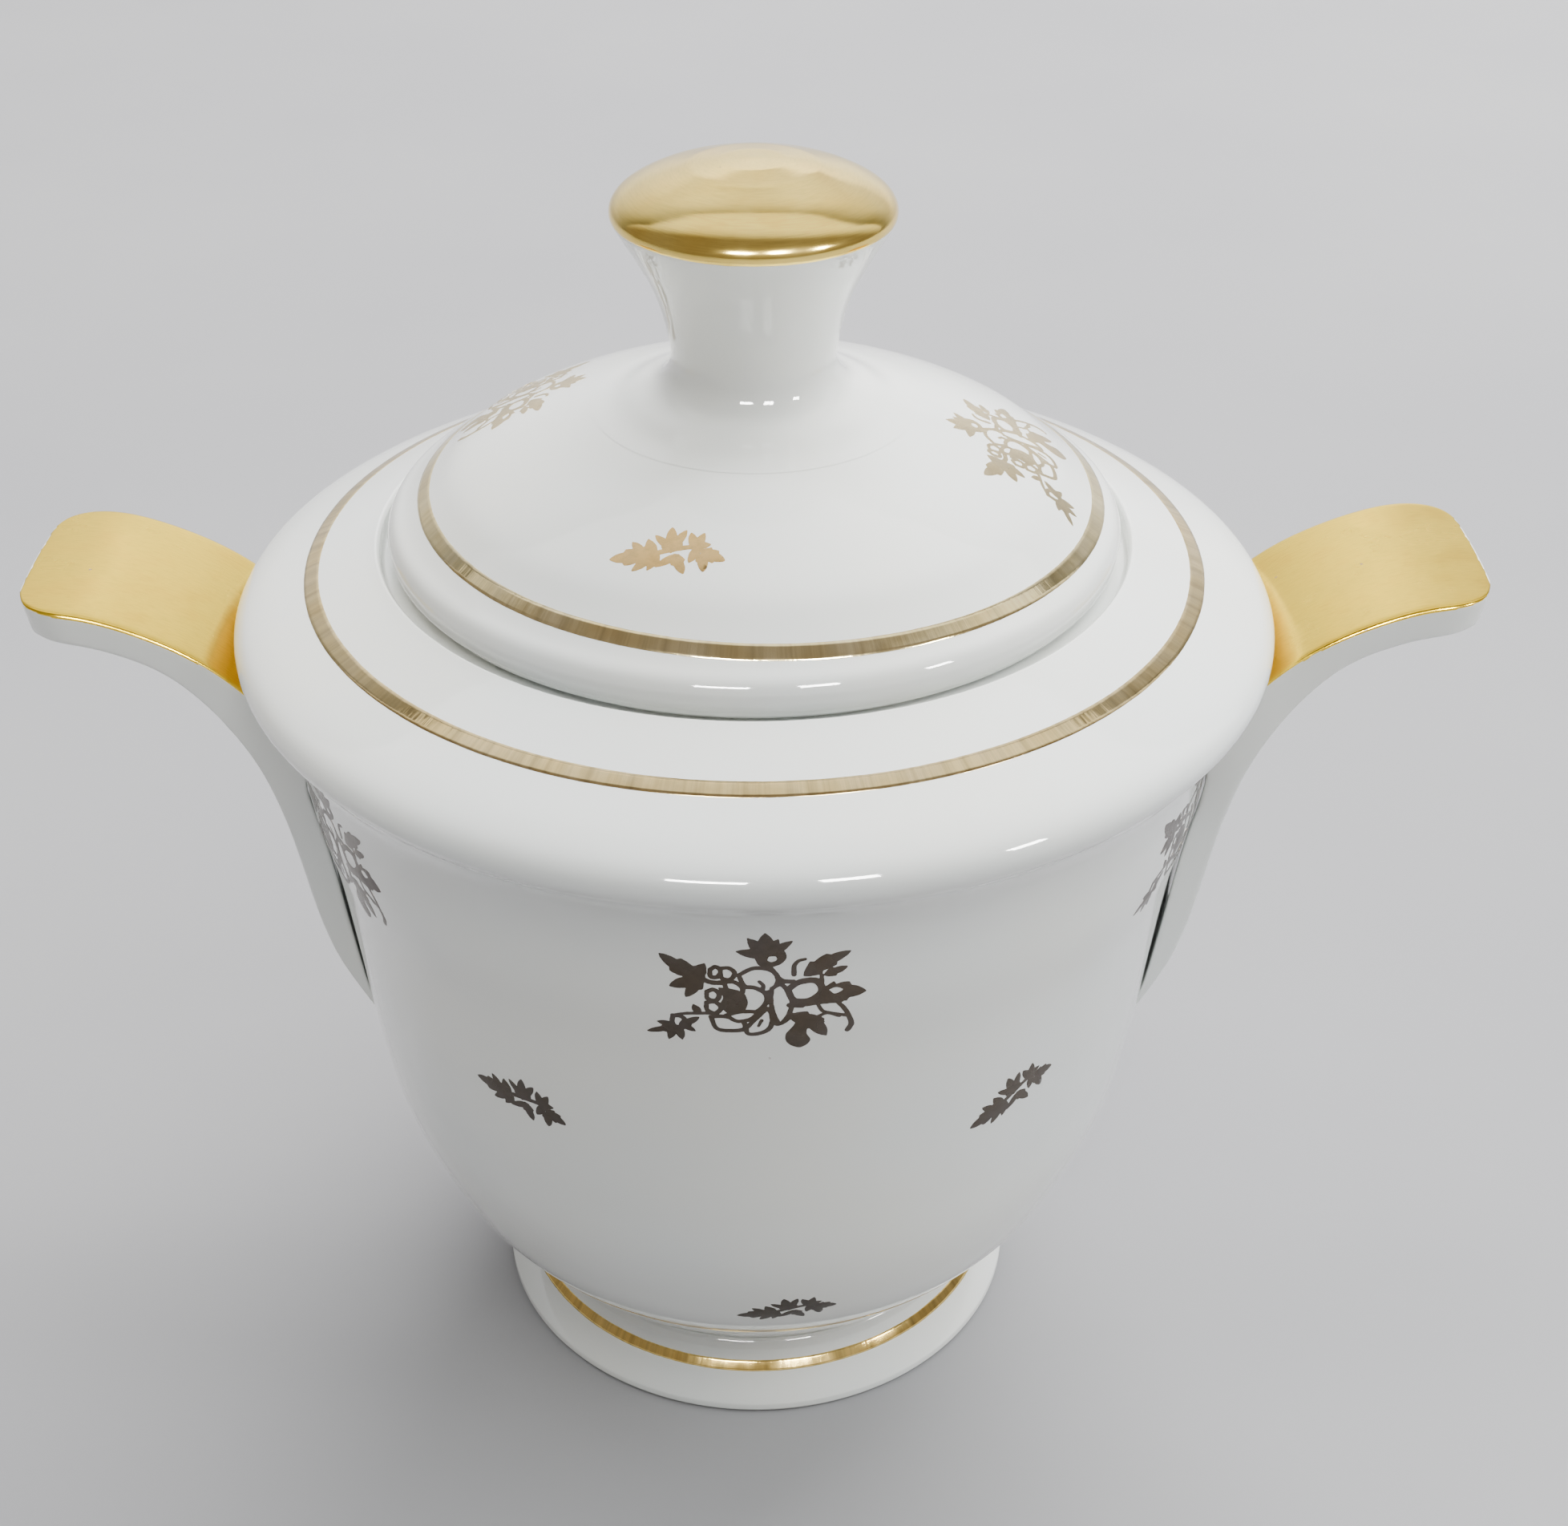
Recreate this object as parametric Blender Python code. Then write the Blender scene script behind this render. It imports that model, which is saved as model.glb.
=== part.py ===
"""Covered porcelain sugar bowl: a turned bowl on a flared foot ring, two strap handles, and a lift-off lid with a trumpet knob.

Frame: metres, +Z up, origin at the centre of the foot's resting face, handles along X, front towards -Y.
The bowl, the foot ring and the two handles are one rigid group; the lid shell, its locating collar and its knob are another.
"""

import math

import bmesh
import bpy

MM = 0.001

# Driving dimensions, in millimetres
GAP = 0.3  # clearance between pieces that are joined or that rest on each other
WALL = 3.0  # thickness of the bowl's wall
FOOT_R = 35.3  # outside radius of the foot where it meets the table
FOOT_BORE_R = 29.0  # inside radius of the foot at the table
FOOT_TOP_Z = 11.2  # where the foot meets the bowl
BOWL_FLOOR_Z = 16.0  # inside floor of the bowl
MOUTH_R = 39.2  # radius of the bowl's mouth
SEAT_Z = 111.6  # ledge that the lid rests on
SEAT_R = 43.9  # radius of the recess around the lid
LIP_Z = 113.7  # top of the lip around the recess
SHOULDER_R = 61.6  # widest radius of the shoulder
SHOULDER_Z = 104.0  # height of that widest line
LID_R = 42.8  # radius of the lid's rolled rim
LID_RIM_Z = 115.3  # height of the rim's widest line
COLLAR_R = 38.2  # outside radius of the collar under the lid
COLLAR_T = 2.4  # thickness of the collar
COLLAR_Z = 105.0  # lower edge of the collar
KNOB_BASE_Z = 130.6  # where the knob's stem meets the lid
KNOB_WAIST_R = 9.5  # narrowest radius of the stem
KNOB_R = 15.8  # radius of the knob's cap
KNOB_CAP_Z = 151.8  # height of the cap's widest line
KNOB_TOP_Z = 157.5  # top of the cap, and of the object
HANDLE_W = 26.6  # width of a handle's tongue across Y
LEG_W = 23.0  # width of a handle's leg at its lower end
TONGUE_T = 4.0  # thickness of the tongue
LEG_FOOT_Z = 48.9  # lower end of the leg, where it meets the bowl
# name: (direction along X, reach of the tongue's tip, lift of the tongue, widest gap behind the leg)
HANDLES = {
    "handle_left": (-1, 86.0, -0.5, 0.8),
    "handle_right": (1, 86.0, 0.6, 1.1),
}
SEGMENTS = 48  # around a turned piece

# Outside of the bowl, as (radius, height) stations from the foot to the lip of the lid's seat
BOWL_STATIONS = (
    (31.0, 12.4),
    (37.6, 18.9),
    (42.7, 25.0),
    (45.8, 31.0),
    (48.7, 40.0),
    (50.3, 50.0),
    (51.6, 62.0),
    (53.2, 75.0),
    (55.0, 84.0),
    (56.0, 92.0),
    (57.2, 96.8),
    (59.2, 100.2),
    (61.0, 102.2),
    (SHOULDER_R, SHOULDER_Z),
    (60.8, 105.7),
    (58.6, 107.3),
    (52.0, 110.4),
    (46.5, 112.8),
    (45.0, 113.4),
)
# Inside of the bowl, from its floor to the mouth
INSIDE_STATIONS = (
    (24.0, BOWL_FLOOR_Z + 0.6),
    (33.5, 20.2),
    (39.5, 27.0),
    (44.6, 38.0),
    (47.2, 50.0),
    (49.0, 65.0),
    (51.2, 80.0),
    (52.2, 89.0),
    (52.0, 96.0),
    (49.0, 101.6),
    (43.0, 105.0),
)
# Top of the lid, from the rim to the stem
LID_STATIONS = (
    (LID_R, LID_RIM_Z),
    (42.1, 116.7),
    (40.6, 117.7),
    (39.2, 118.7),
    (37.3, 120.2),
    (34.4, 122.4),
    (28.5, 125.4),
    (21.0, 128.2),
    (15.5, 129.9),
)
# Stem and cap of the knob, from the lid up
KNOB_STATIONS = (
    (14.2, KNOB_BASE_Z),
    (11.0, 132.0),
    (KNOB_WAIST_R, 134.6),
    (9.9, 138.5),
    (11.3, 143.2),
    (13.6, 147.6),
    (15.2, 150.3),
    (KNOB_R, KNOB_CAP_Z),
    (15.2, 153.2),
    (12.4, 155.0),
    (7.0, 156.8),
)
# Top face of a handle's tongue, as (distance from the bowl's axis, height)
TONGUE_STATIONS = (
    (53.6, 91.6),
    (57.6, 96.4),
    (62.0, 101.0),
    (66.0, 103.9),
    (71.0, 106.5),
    (77.0, 108.6),
    (82.0, 109.2),
    (87.5, 109.3),
)
# Outer edge of a handle's leg and underside, from the leg's foot to the tongue
LEG_STATIONS = (
    (50.8, 53.0),
    (52.9, 57.8),
    (54.6, 64.6),
    (55.9, 73.0),
    (57.2, 80.5),
    (59.2, 87.4),
    (62.1, 93.2),
    (65.9, 97.6),
)


def spline(stations, steps):
    """A smooth curve through the stations, with that many pieces between each two of them."""
    ends = [
        tuple(2 * a - b for a, b in zip(stations[0], stations[1])),
        *stations,
        tuple(2 * a - b for a, b in zip(stations[-1], stations[-2])),
    ]
    points = []
    for a, b, c, d in zip(ends, ends[1:], ends[2:], ends[3:]):
        ta = 0.0
        tb = ta + math.sqrt(math.dist(a, b))
        tc = tb + math.sqrt(math.dist(b, c))
        td = tc + math.sqrt(math.dist(c, d))
        for step in range(steps):
            t = tb + (tc - tb) * step / steps

            def mix(p, q, tp, tq):
                return tuple(
                    (x * (tq - t) + y * (t - tp)) / (tq - tp) for x, y in zip(p, q)
                )

            ab, bc, cd = mix(a, b, ta, tb), mix(b, c, tb, tc), mix(c, d, tc, td)
            points.append(mix(mix(ab, bc, ta, tc), mix(bc, cd, tb, td), tb, tc))
    points.append(tuple(stations[-1]))
    return points


def height_at(curve, x):
    """The second coordinate of a curve where its first is x."""
    for (xa, za), (xb, zb) in zip(curve, curve[1:]):
        if (xa - x) * (xb - x) <= 0 and xa != xb:
            return za + (zb - za) * (x - xa) / (xb - xa)
    return curve[0][1] if abs(x - curve[0][0]) < abs(x - curve[-1][0]) else curve[-1][1]


def material(name, colour, roughness, metallic=0.0):
    made = bpy.data.materials.new(name)
    made.use_nodes = True
    shader = made.node_tree.nodes["Principled BSDF"]
    shader.inputs["Base Color"].default_value = (*colour, 1.0)
    shader.inputs["Roughness"].default_value = roughness
    shader.inputs["Metallic"].default_value = metallic
    made.diffuse_color = (*colour, 1.0)
    return made


def piece(name, mesh_from, finish, parent, sharp=35.0):
    """Links a closed bmesh as one named object under an empty."""
    bmesh.ops.remove_doubles(mesh_from, verts=mesh_from.verts, dist=1e-6)
    bmesh.ops.recalc_face_normals(mesh_from, faces=mesh_from.faces)
    mesh = bpy.data.meshes.new(name)
    mesh_from.to_mesh(mesh)
    mesh_from.free()
    mesh.shade_smooth()
    mesh.set_sharp_from_angle(angle=math.radians(sharp))
    mesh.materials.append(finish)
    made = bpy.data.objects.new(name, mesh)
    bpy.context.scene.collection.objects.link(made)
    made.parent = parent
    return made


def turned(name, profile, finish, parent, segments=SEGMENTS):
    """A turned piece: a closed (radius, height) outline, in millimetres, spun about Z."""
    made = bmesh.new()
    points = [made.verts.new((r * MM, 0.0, z * MM)) for r, z in profile]
    edges = [made.edges.new((a, b)) for a, b in zip(points, points[1:])]
    if profile[0][0] > 0 or profile[-1][0] > 0:
        edges.append(made.edges.new((points[-1], points[0])))
    bmesh.ops.spin(
        made,
        geom=points + edges,
        cent=(0.0, 0.0, 0.0),
        axis=(0.0, 0.0, 1.0),
        angle=2 * math.pi,
        steps=segments,
        use_merge=True,
    )
    return piece(name, made, finish, parent)


def group(name):
    made = bpy.data.objects.new(name, None)
    made.empty_display_size = 0.02
    bpy.context.scene.collection.objects.link(made)
    return made


BOWL_CURVE = spline(BOWL_STATIONS, 2)
SIDE_CURVE = [(z, r) for r, z in spline(BOWL_STATIONS[:13], 6)]
TONGUE_CURVE = spline(TONGUE_STATIONS, 6)


def bowl(finish, parent):
    """The bowl with its shoulder, its lid seat and its mouth, open at the top."""
    outside = [(0.0, 12.0), (20.0, 12.0), *BOWL_CURVE]
    seat = [
        (44.3, LIP_Z),
        (SEAT_R, 113.2),
        (SEAT_R - 0.2, SEAT_Z),
        (40.2, SEAT_Z),
        (MOUTH_R, 110.6),
        (MOUTH_R, 107.2),
        (40.2, 106.0),
    ]
    inside = list(reversed(spline(INSIDE_STATIONS, 1)))
    return turned(
        "bowl_body", outside + seat + inside + [(0.0, BOWL_FLOOR_Z)], finish, parent
    )


def foot(finish, parent):
    """The flared ring under the bowl. Its lower face is flat."""
    outline = [
        (FOOT_BORE_R, 0.0),
        (34.6, 0.0),
        (35.2, 0.4),
        (FOOT_R, 1.1),
        (34.2, 3.2),
        (32.9, 5.0),
        (31.8, 6.4),
        (30.9, 7.8),
        (30.9, 8.8),
        (30.3, 9.8),
        (30.3, FOOT_TOP_Z),
        (29.4, 12.0 - GAP),
        (26.4, 12.0 - GAP),
        (26.4, 8.0),
        (27.6, 3.0),
    ]
    return turned("foot_ring", outline, finish, parent)


def handle(name, finish, parent):
    """A strap handle: a leg that hugs the bowl's side and a tongue that sweeps out and up under the shoulder.

    Stations run from the leg's foot to the tongue's tip. Each one is a loop round the strap's section:
    along the face towards the bowl, or the top of the tongue, from -Y to +Y, then back along the outer face.
    """
    side, reach, lift, opening = HANDLES[name]
    top = [(x, z + lift) for x, z in TONGUE_CURVE]
    across = 6
    leg_count, tongue_count = 12, 11

    def wall(z):
        """Radius of the strap's inner face: close to the bowl, with a lens-shaped gap behind the leg."""
        along = min(max((z - 51.5) / 27.0, 0.0), 1.0)
        return height_at(SIDE_CURVE, z) + GAP + (opening - GAP) * math.sin(
            math.pi * along
        )

    def root(y):
        """Height at which the tongue's top face meets the bowl's side, at this distance from the middle."""
        low, high = 90.0, 99.5
        for _ in range(40):
            z = (low + high) / 2
            x = math.sqrt(wall(z) ** 2 - y * y)
            low, high = (low, z) if height_at(top, x) < z else (z, high)
        return (low + high) / 2

    under = spline(
        (*LEG_STATIONS, *((x, height_at(TONGUE_CURVE, x) - TONGUE_T / math.cos(tilt)) for x, tilt in ((70.5, 0.5), (76.0, 0.28), (81.0, 0.12)))),
        6,
    )
    under = [(x, z + lift * min(max((x - 56.0) / 10.0, 0.0), 1.0)) for x, z in under]
    lengths = [0.0]
    for a, b in zip(under, under[1:]):
        lengths.append(lengths[-1] + math.dist(a, b))

    def outer(share):
        want = share * lengths[-1]
        for i, (low, high) in enumerate(zip(lengths, lengths[1:])):
            if want <= high:
                f = (want - low) / (high - low)
                return tuple(p + (q - p) * f for p, q in zip(under[i], under[i + 1]))
        return under[-1]

    made = bmesh.new()
    loops = []
    total = leg_count + tongue_count
    for station in range(total + 1):
        share = station / total
        half = (LEG_W + (HANDLE_W - LEG_W) * min(share / 0.5, 1.0)) / 2
        edge_x, edge_z = outer(max(share - 0.04, 0.0) / 0.96)
        if station > total - 4:
            half -= (0.0, 0.5, 1.7, 4.6)[station - total + 3]
        near, far = [], []
        for k in range(across + 1):
            y = half * (2 * k / across - 1)
            if station == 0:
                r = wall(LEG_FOOT_Z)
                near.append((math.sqrt(r * r - y * y), y, LEG_FOOT_Z))
                far.append((math.sqrt((r + 0.5) ** 2 - y * y), y, LEG_FOOT_Z + 0.3))
                continue
            top_z = root(y)
            if station <= leg_count:
                z = LEG_FOOT_Z + (top_z - LEG_FOOT_Z) * station / leg_count
                near.append((math.sqrt(wall(z) ** 2 - y * y), y, z))
            else:
                start = math.sqrt(wall(top_z) ** 2 - y * y)
                f = (station - leg_count) / tongue_count
                x = start + (reach - start) * f**0.85
                near.append((x, y, height_at(top, x)))
            bow = max(1.0 - share / 0.45, 0.0)
            r = edge_x + 3.0
            x = edge_x + bow * (math.sqrt(r * r - y * y) - math.sqrt(r * r - half * half))
            far.append((x, y, edge_z))
        if station == total:
            far = [(x - 0.6, y, z - TONGUE_T + 0.5) for x, y, z in near]
        elif station > leg_count + 5:
            far = [
                (x - 0.9, y, height_at(top, x) - TONGUE_T * (1.0 + 0.25 * (total - station) / 6))
                for x, y, _ in near
            ]
        loops.append(
            [
                made.verts.new((side * x * MM, y * MM, z * MM))
                for x, y, z in near + far[::-1]
            ]
        )
    for a, b in zip(loops, loops[1:]):
        for i in range(len(a)):
            j = (i + 1) % len(a)
            made.faces.new((a[i], a[j], b[j], b[i]))
    for loop in (loops[0], loops[-1]):
        n = len(loop)
        for i in range(across):
            made.faces.new((loop[i], loop[i + 1], loop[n - 2 - i], loop[n - 1 - i]))
    return piece(name, made, finish, parent)


def lid_shell(finish, parent):
    """The domed lid with its rolled rim; its underside is hollow."""
    outline = [
        (0.0, 130.2 - GAP),
        *reversed(spline(LID_STATIONS, 1)),
        (42.6, 113.6),
        (41.8, SEAT_Z + 1.0),
        (41.0, SEAT_Z + GAP),
        (35.2, SEAT_Z + GAP),
        (35.2, 116.4),
        (33.0, 119.4),
        (27.5, 122.3),
        (20.0, 125.0),
        (10.0, 126.6),
        (0.0, 126.9),
    ]
    return turned("lid_shell", outline, finish, parent)


def lid_collar(finish, parent):
    """The ring under the lid that drops into the bowl's mouth."""
    outline = [
        (COLLAR_R, SEAT_Z),
        (COLLAR_R - COLLAR_T, SEAT_Z),
        (COLLAR_R - COLLAR_T, COLLAR_Z + 0.5),
        (COLLAR_R - COLLAR_T + 0.6, COLLAR_Z),
        (COLLAR_R - 0.9, COLLAR_Z),
        (COLLAR_R - 0.3, COLLAR_Z + 0.8),
    ]
    return turned("lid_collar", outline, finish, parent)


def knob(finish, parent):
    """The trumpet-shaped knob with its domed cap."""
    outline = [
        (0.0, KNOB_BASE_Z - 0.1),
        *spline(KNOB_STATIONS, 1),
        (0.0, KNOB_TOP_Z),
    ]
    return turned("lid_knob", outline, finish, parent, 36)


def main():
    for old in list(bpy.data.objects):
        bpy.data.objects.remove(old, do_unlink=True)
    glaze = (0.82, 0.83, 0.80)
    gold = (0.83, 0.62, 0.27)
    base, lid = group("bowl"), group("lid")
    bowl(material("porcelain_bowl", glaze, 0.12), base)
    foot(material("porcelain_foot", glaze, 0.14), base)
    for name in HANDLES:
        handle(name, material("gilt_" + name, gold, 0.2, 1.0), base)
    lid_shell(material("porcelain_lid", glaze, 0.12), lid)
    lid_collar(material("porcelain_collar", glaze, 0.2), lid)
    knob(material("gilt_knob", gold, 0.18, 1.0), lid)


main()
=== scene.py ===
"""Looks of the covered porcelain sugar bowl: glazed porcelain, bright gold bands, gilded handles and knob, and small gold flower sprays.

Everything is in metres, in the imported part's own frame: +Z up, foot on the floor at z = 0, handles along X, front towards -Y.
The turned and swept shapes repeat the part's own stations, in millimetres, with finer sampling and rounded edges.
"""

import math

import bmesh
import bpy
import numpy as np
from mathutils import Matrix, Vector, noise
from mathutils.geometry import delaunay_2d_cdt


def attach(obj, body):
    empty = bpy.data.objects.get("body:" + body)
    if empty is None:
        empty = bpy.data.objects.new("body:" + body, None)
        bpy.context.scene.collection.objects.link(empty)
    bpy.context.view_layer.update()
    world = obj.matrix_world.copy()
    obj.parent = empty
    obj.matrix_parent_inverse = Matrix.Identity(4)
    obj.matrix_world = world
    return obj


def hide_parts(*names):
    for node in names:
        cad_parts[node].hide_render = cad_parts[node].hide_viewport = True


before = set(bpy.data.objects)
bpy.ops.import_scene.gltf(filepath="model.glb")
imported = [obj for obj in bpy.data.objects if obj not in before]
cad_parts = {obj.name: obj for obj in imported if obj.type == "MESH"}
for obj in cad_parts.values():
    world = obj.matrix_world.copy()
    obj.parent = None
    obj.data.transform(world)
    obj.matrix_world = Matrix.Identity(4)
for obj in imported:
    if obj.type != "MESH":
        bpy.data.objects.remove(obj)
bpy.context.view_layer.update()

MM = 0.001
AROUND = 256  # faces around a turned piece
BURY = 0.5  # how far a piece that is fired onto another runs into it

# ------------------------------------------------------------------ the part's stations, in millimetres

BOWL_STATIONS = (
    (31.0, 10.2),
    (34.4, 13.6),
    (38.0, 17.7),
    (42.9, 24.6),
    (45.8, 31.0),
    (48.7, 40.0),
    (50.3, 50.0),
    (51.6, 62.0),
    (53.2, 75.0),
    (55.0, 84.0),
    (56.0, 92.0),
    (57.2, 96.8),
    (59.2, 100.2),
    (61.0, 102.2),
    (61.6, 104.0),
    (60.8, 105.7),
    (58.6, 107.3),
    (52.0, 110.4),
    (46.5, 112.8),
    (45.0, 113.4),
)
INSIDE_STATIONS = (
    (24.0, 16.6),
    (33.5, 20.2),
    (39.5, 27.0),
    (44.6, 38.0),
    (47.2, 50.0),
    (49.0, 65.0),
    (51.2, 80.0),
    (52.2, 89.0),
    (52.0, 96.0),
    (49.0, 101.6),
    (43.0, 105.0),
)
LID_STATIONS = (
    (42.8, 115.3),
    (42.1, 116.7),
    (40.6, 117.7),
    (39.2, 118.7),
    (37.3, 120.2),
    (34.4, 122.4),
    (28.5, 125.4),
    (21.0, 128.2),
    (15.5, 129.9),
)
KNOB_STATIONS = (
    (14.2, 130.6),
    (11.0, 132.0),
    (9.5, 134.6),
    (9.9, 138.5),
    (11.3, 143.2),
    (13.6, 147.6),
    (15.2, 150.3),
    (15.8, 151.8),
    (15.2, 153.2),
    (12.4, 155.0),
    (7.0, 156.8),
)
TONGUE_STATIONS = (
    (49.6, 86.6),
    (53.6, 91.6),
    (57.6, 96.4),
    (62.0, 101.0),
    (66.0, 103.9),
    (71.0, 106.5),
    (77.0, 108.6),
    (82.0, 109.2),
    (87.5, 109.3),
)
LEG_STATIONS = (
    (50.8, 53.0),
    (52.9, 57.8),
    (54.6, 64.6),
    (55.9, 73.0),
    (57.2, 80.5),
    (59.2, 87.4),
    (62.1, 93.2),
    (65.9, 97.6),
)
# name: (direction along X, reach of the tongue's tip, lift of the tongue, widest gap behind the leg)
HANDLES = {
    "handle_left": (-1, 86.0, -0.5, 0.8),
    "handle_right": (1, 86.0, 0.6, 1.1),
}
HANDLE_W, LEG_W, TONGUE_T, LEG_FOOT_Z = 26.6, 23.0, 4.0, 48.9


# ------------------------------------------------------------------ curves


def spline(stations, steps):
    """A smooth curve through the stations, with that many pieces between each two of them."""
    ends = [
        tuple(2 * a - b for a, b in zip(stations[0], stations[1])),
        *stations,
        tuple(2 * a - b for a, b in zip(stations[-1], stations[-2])),
    ]
    points = []
    for a, b, c, d in zip(ends, ends[1:], ends[2:], ends[3:]):
        ta = 0.0
        tb = ta + math.sqrt(math.dist(a, b))
        tc = tb + math.sqrt(math.dist(b, c))
        td = tc + math.sqrt(math.dist(c, d))
        for step in range(steps):
            t = tb + (tc - tb) * step / steps

            def mix(p, q, tp, tq):
                return tuple(
                    (x * (tq - t) + y * (t - tp)) / (tq - tp) for x, y in zip(p, q)
                )

            ab, bc, cd = mix(a, b, ta, tb), mix(b, c, tb, tc), mix(c, d, tc, td)
            points.append(mix(mix(ab, bc, ta, tc), mix(bc, cd, tb, td), tb, tc))
    points.append(tuple(stations[-1]))
    return points


def resampled(points, spacing):
    """The same line with points that far apart."""
    p = np.array(points, float)
    s = np.concatenate([[0.0], np.cumsum(np.hypot(*np.diff(p, axis=0).T))])
    n = max(int(round(s[-1] / spacing)), 2)
    t = np.linspace(0.0, s[-1], n + 1)
    return np.column_stack([np.interp(t, s, p[:, 0]), np.interp(t, s, p[:, 1])])


def eased(points, rounds):
    """Takes the small unevenness out of a line of evenly spaced points without shrinking its bends."""
    p = np.array(points, float)
    for _ in range(rounds):
        for push in (0.5, -0.52):
            q = p.copy()
            q[1:-1] += push * ((p[:-2] + p[2:]) / 2 - p[1:-1])
            p = q
    return p


def smooth_curve(stations, spacing=0.57, rounds=10):
    return [tuple(q) for q in eased(resampled(spline(stations, 24), spacing), rounds)]


def rounded(outline, radii, closed=False):
    """An outline with the corners named in radii, {index: radius}, replaced by arcs."""
    out, n = [], len(outline)
    for i, b in enumerate(outline):
        radius = radii.get(i, 0.0)
        if not radius or (not closed and i in (0, n - 1)):
            out.append(tuple(b))
            continue
        b = Vector(b)
        a, c = Vector(outline[i - 1]), Vector(outline[(i + 1) % n])
        u, w = (a - b), (c - b)
        angle = u.angle(w)
        cut = min(radius / math.tan(angle / 2), 0.45 * u.length, 0.45 * w.length)
        start, end = b + u.normalized() * cut, b + w.normalized() * cut
        for k in range(7):
            t = k / 6
            out.append(tuple(start * (1 - t) ** 2 + b * (2 * t * (1 - t)) + end * t * t))
    return out


def height_at(curve, x):
    for (xa, za), (xb, zb) in zip(curve, curve[1:]):
        if (xa - x) * (xb - x) <= 0 and xa != xb:
            return za + (zb - za) * (x - xa) / (xb - xa)
    return curve[0][1] if abs(x - curve[0][0]) < abs(x - curve[-1][0]) else curve[-1][1]


BOWL_CURVE = smooth_curve(BOWL_STATIONS)
LID_CURVE = smooth_curve(LID_STATIONS, 0.4, 12)
KNOB_CURVE = smooth_curve(KNOB_STATIONS, 0.4, 6)
SIDE = [(z, r) for r, z in BOWL_CURVE if z < 103.5]


# ------------------------------------------------------------------ meshes


def link(name, mesh, materials):
    made = bpy.data.objects.new(name, mesh)
    bpy.context.scene.collection.objects.link(made)
    for m in materials:
        mesh.materials.append(m)
    return made


def finish_mesh(bm, name, materials, sharp=50.0):
    bmesh.ops.recalc_face_normals(bm, faces=bm.faces)
    mesh = bpy.data.meshes.new(name)
    bm.to_mesh(mesh)
    bm.free()
    mesh.shade_smooth()
    mesh.set_sharp_from_angle(angle=math.radians(sharp))
    return link(name, mesh, materials)


def turned(name, profile, materials, around=AROUND, pick=None):
    """A turned piece from a closed (radius, height) outline in millimetres. UV: arc around, length along the outline, in metres times ten."""
    profile = [p for i, p in enumerate(profile) if i == 0 or math.dist(p, profile[i - 1]) > 1e-4]
    if profile[0][0] > 0 and math.dist(profile[0], profile[-1]) < 1e-4:
        profile.pop()
    loop = profile[0][0] > 0
    bm = bmesh.new()
    uv = bm.loops.layers.uv.new("UVMap")
    along = [0.0]
    for a, b in zip(profile, profile[1:]):
        along.append(along[-1] + math.dist(a, b) * MM * 10)
    rings = []
    for r, z in profile:
        if r < 1e-6:
            rings.append([bm.verts.new((0.0, 0.0, z * MM))] * around)
        else:
            rings.append(
                [
                    bm.verts.new(
                        (
                            r * MM * math.cos(2 * math.pi * k / around),
                            r * MM * math.sin(2 * math.pi * k / around),
                            z * MM,
                        )
                    )
                    for k in range(around)
                ]
            )
    pairs = list(zip(range(len(rings)), range(1, len(rings))))
    if loop:
        pairs.append((len(rings) - 1, 0))
    for i, j in pairs:
        for k in range(around):
            m = (k + 1) % around
            corners = [(i, k, k), (i, m, k + 1), (j, m, k + 1), (j, k, k)]
            verts, seen = [], []
            for ring, at, arc in corners:
                v = rings[ring][at]
                if v not in verts:
                    verts.append(v)
                    seen.append((ring, arc))
            if len(verts) < 3:
                continue
            face = bm.faces.new(verts)
            if pick:
                face.material_index = pick(profile[i], profile[j])
            for corner, (ring, arc) in zip(face.loops, seen):
                u = arc / around * 2 * math.pi * 0.045 * 10
                corner[uv].uv = (u, along[ring] if ring or i == 0 else along[-1] + 0.01)
    return finish_mesh(bm, name, materials)


def side_point(curve, s, lengths):
    """(radius, height, outward normal) on a profile at that length along it."""
    i = int(np.clip(np.searchsorted(lengths, s) - 1, 0, len(curve) - 2))
    f = (s - lengths[i]) / (lengths[i + 1] - lengths[i])
    a, b = np.array(curve[i]), np.array(curve[i + 1])
    p = a + (b - a) * f

    def tangent(k):
        k = min(max(k, 1), len(curve) - 2)
        t = np.array(curve[k + 1]) - np.array(curve[k - 1])
        return t / np.hypot(*t)

    t = tangent(i) * (1 - f) + tangent(i + 1) * f
    t /= np.hypot(*t)
    return p, np.array([t[1], -t[0]])


def lengths_of(curve):
    p = np.array(curve, float)
    return np.concatenate([[0.0], np.cumsum(np.hypot(*np.diff(p, axis=0).T))])


def length_at_height(curve, z):
    lengths = lengths_of(curve)
    zs = [q[1] for q in curve]
    return float(np.interp(z, zs, lengths)) if zs[-1] > zs[0] else float(np.interp(-z, [-q for q in zs], lengths))


def waver(t, seed, size, turns=14.0):
    """Slow, seamless unevenness round a circle, as a hand-held brush leaves."""
    return size * (
        0.65 * noise.noise(Vector((turns * 0.16 * math.cos(t), turns * 0.16 * math.sin(t), seed)))
        + 0.25 * noise.noise(Vector((turns * math.cos(t), turns * math.sin(t), seed + 7.3)))
        + 0.18 * noise.noise(Vector((turns * 4 * math.cos(t), turns * 4 * math.sin(t), seed + 3.1)))
    )


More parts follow.
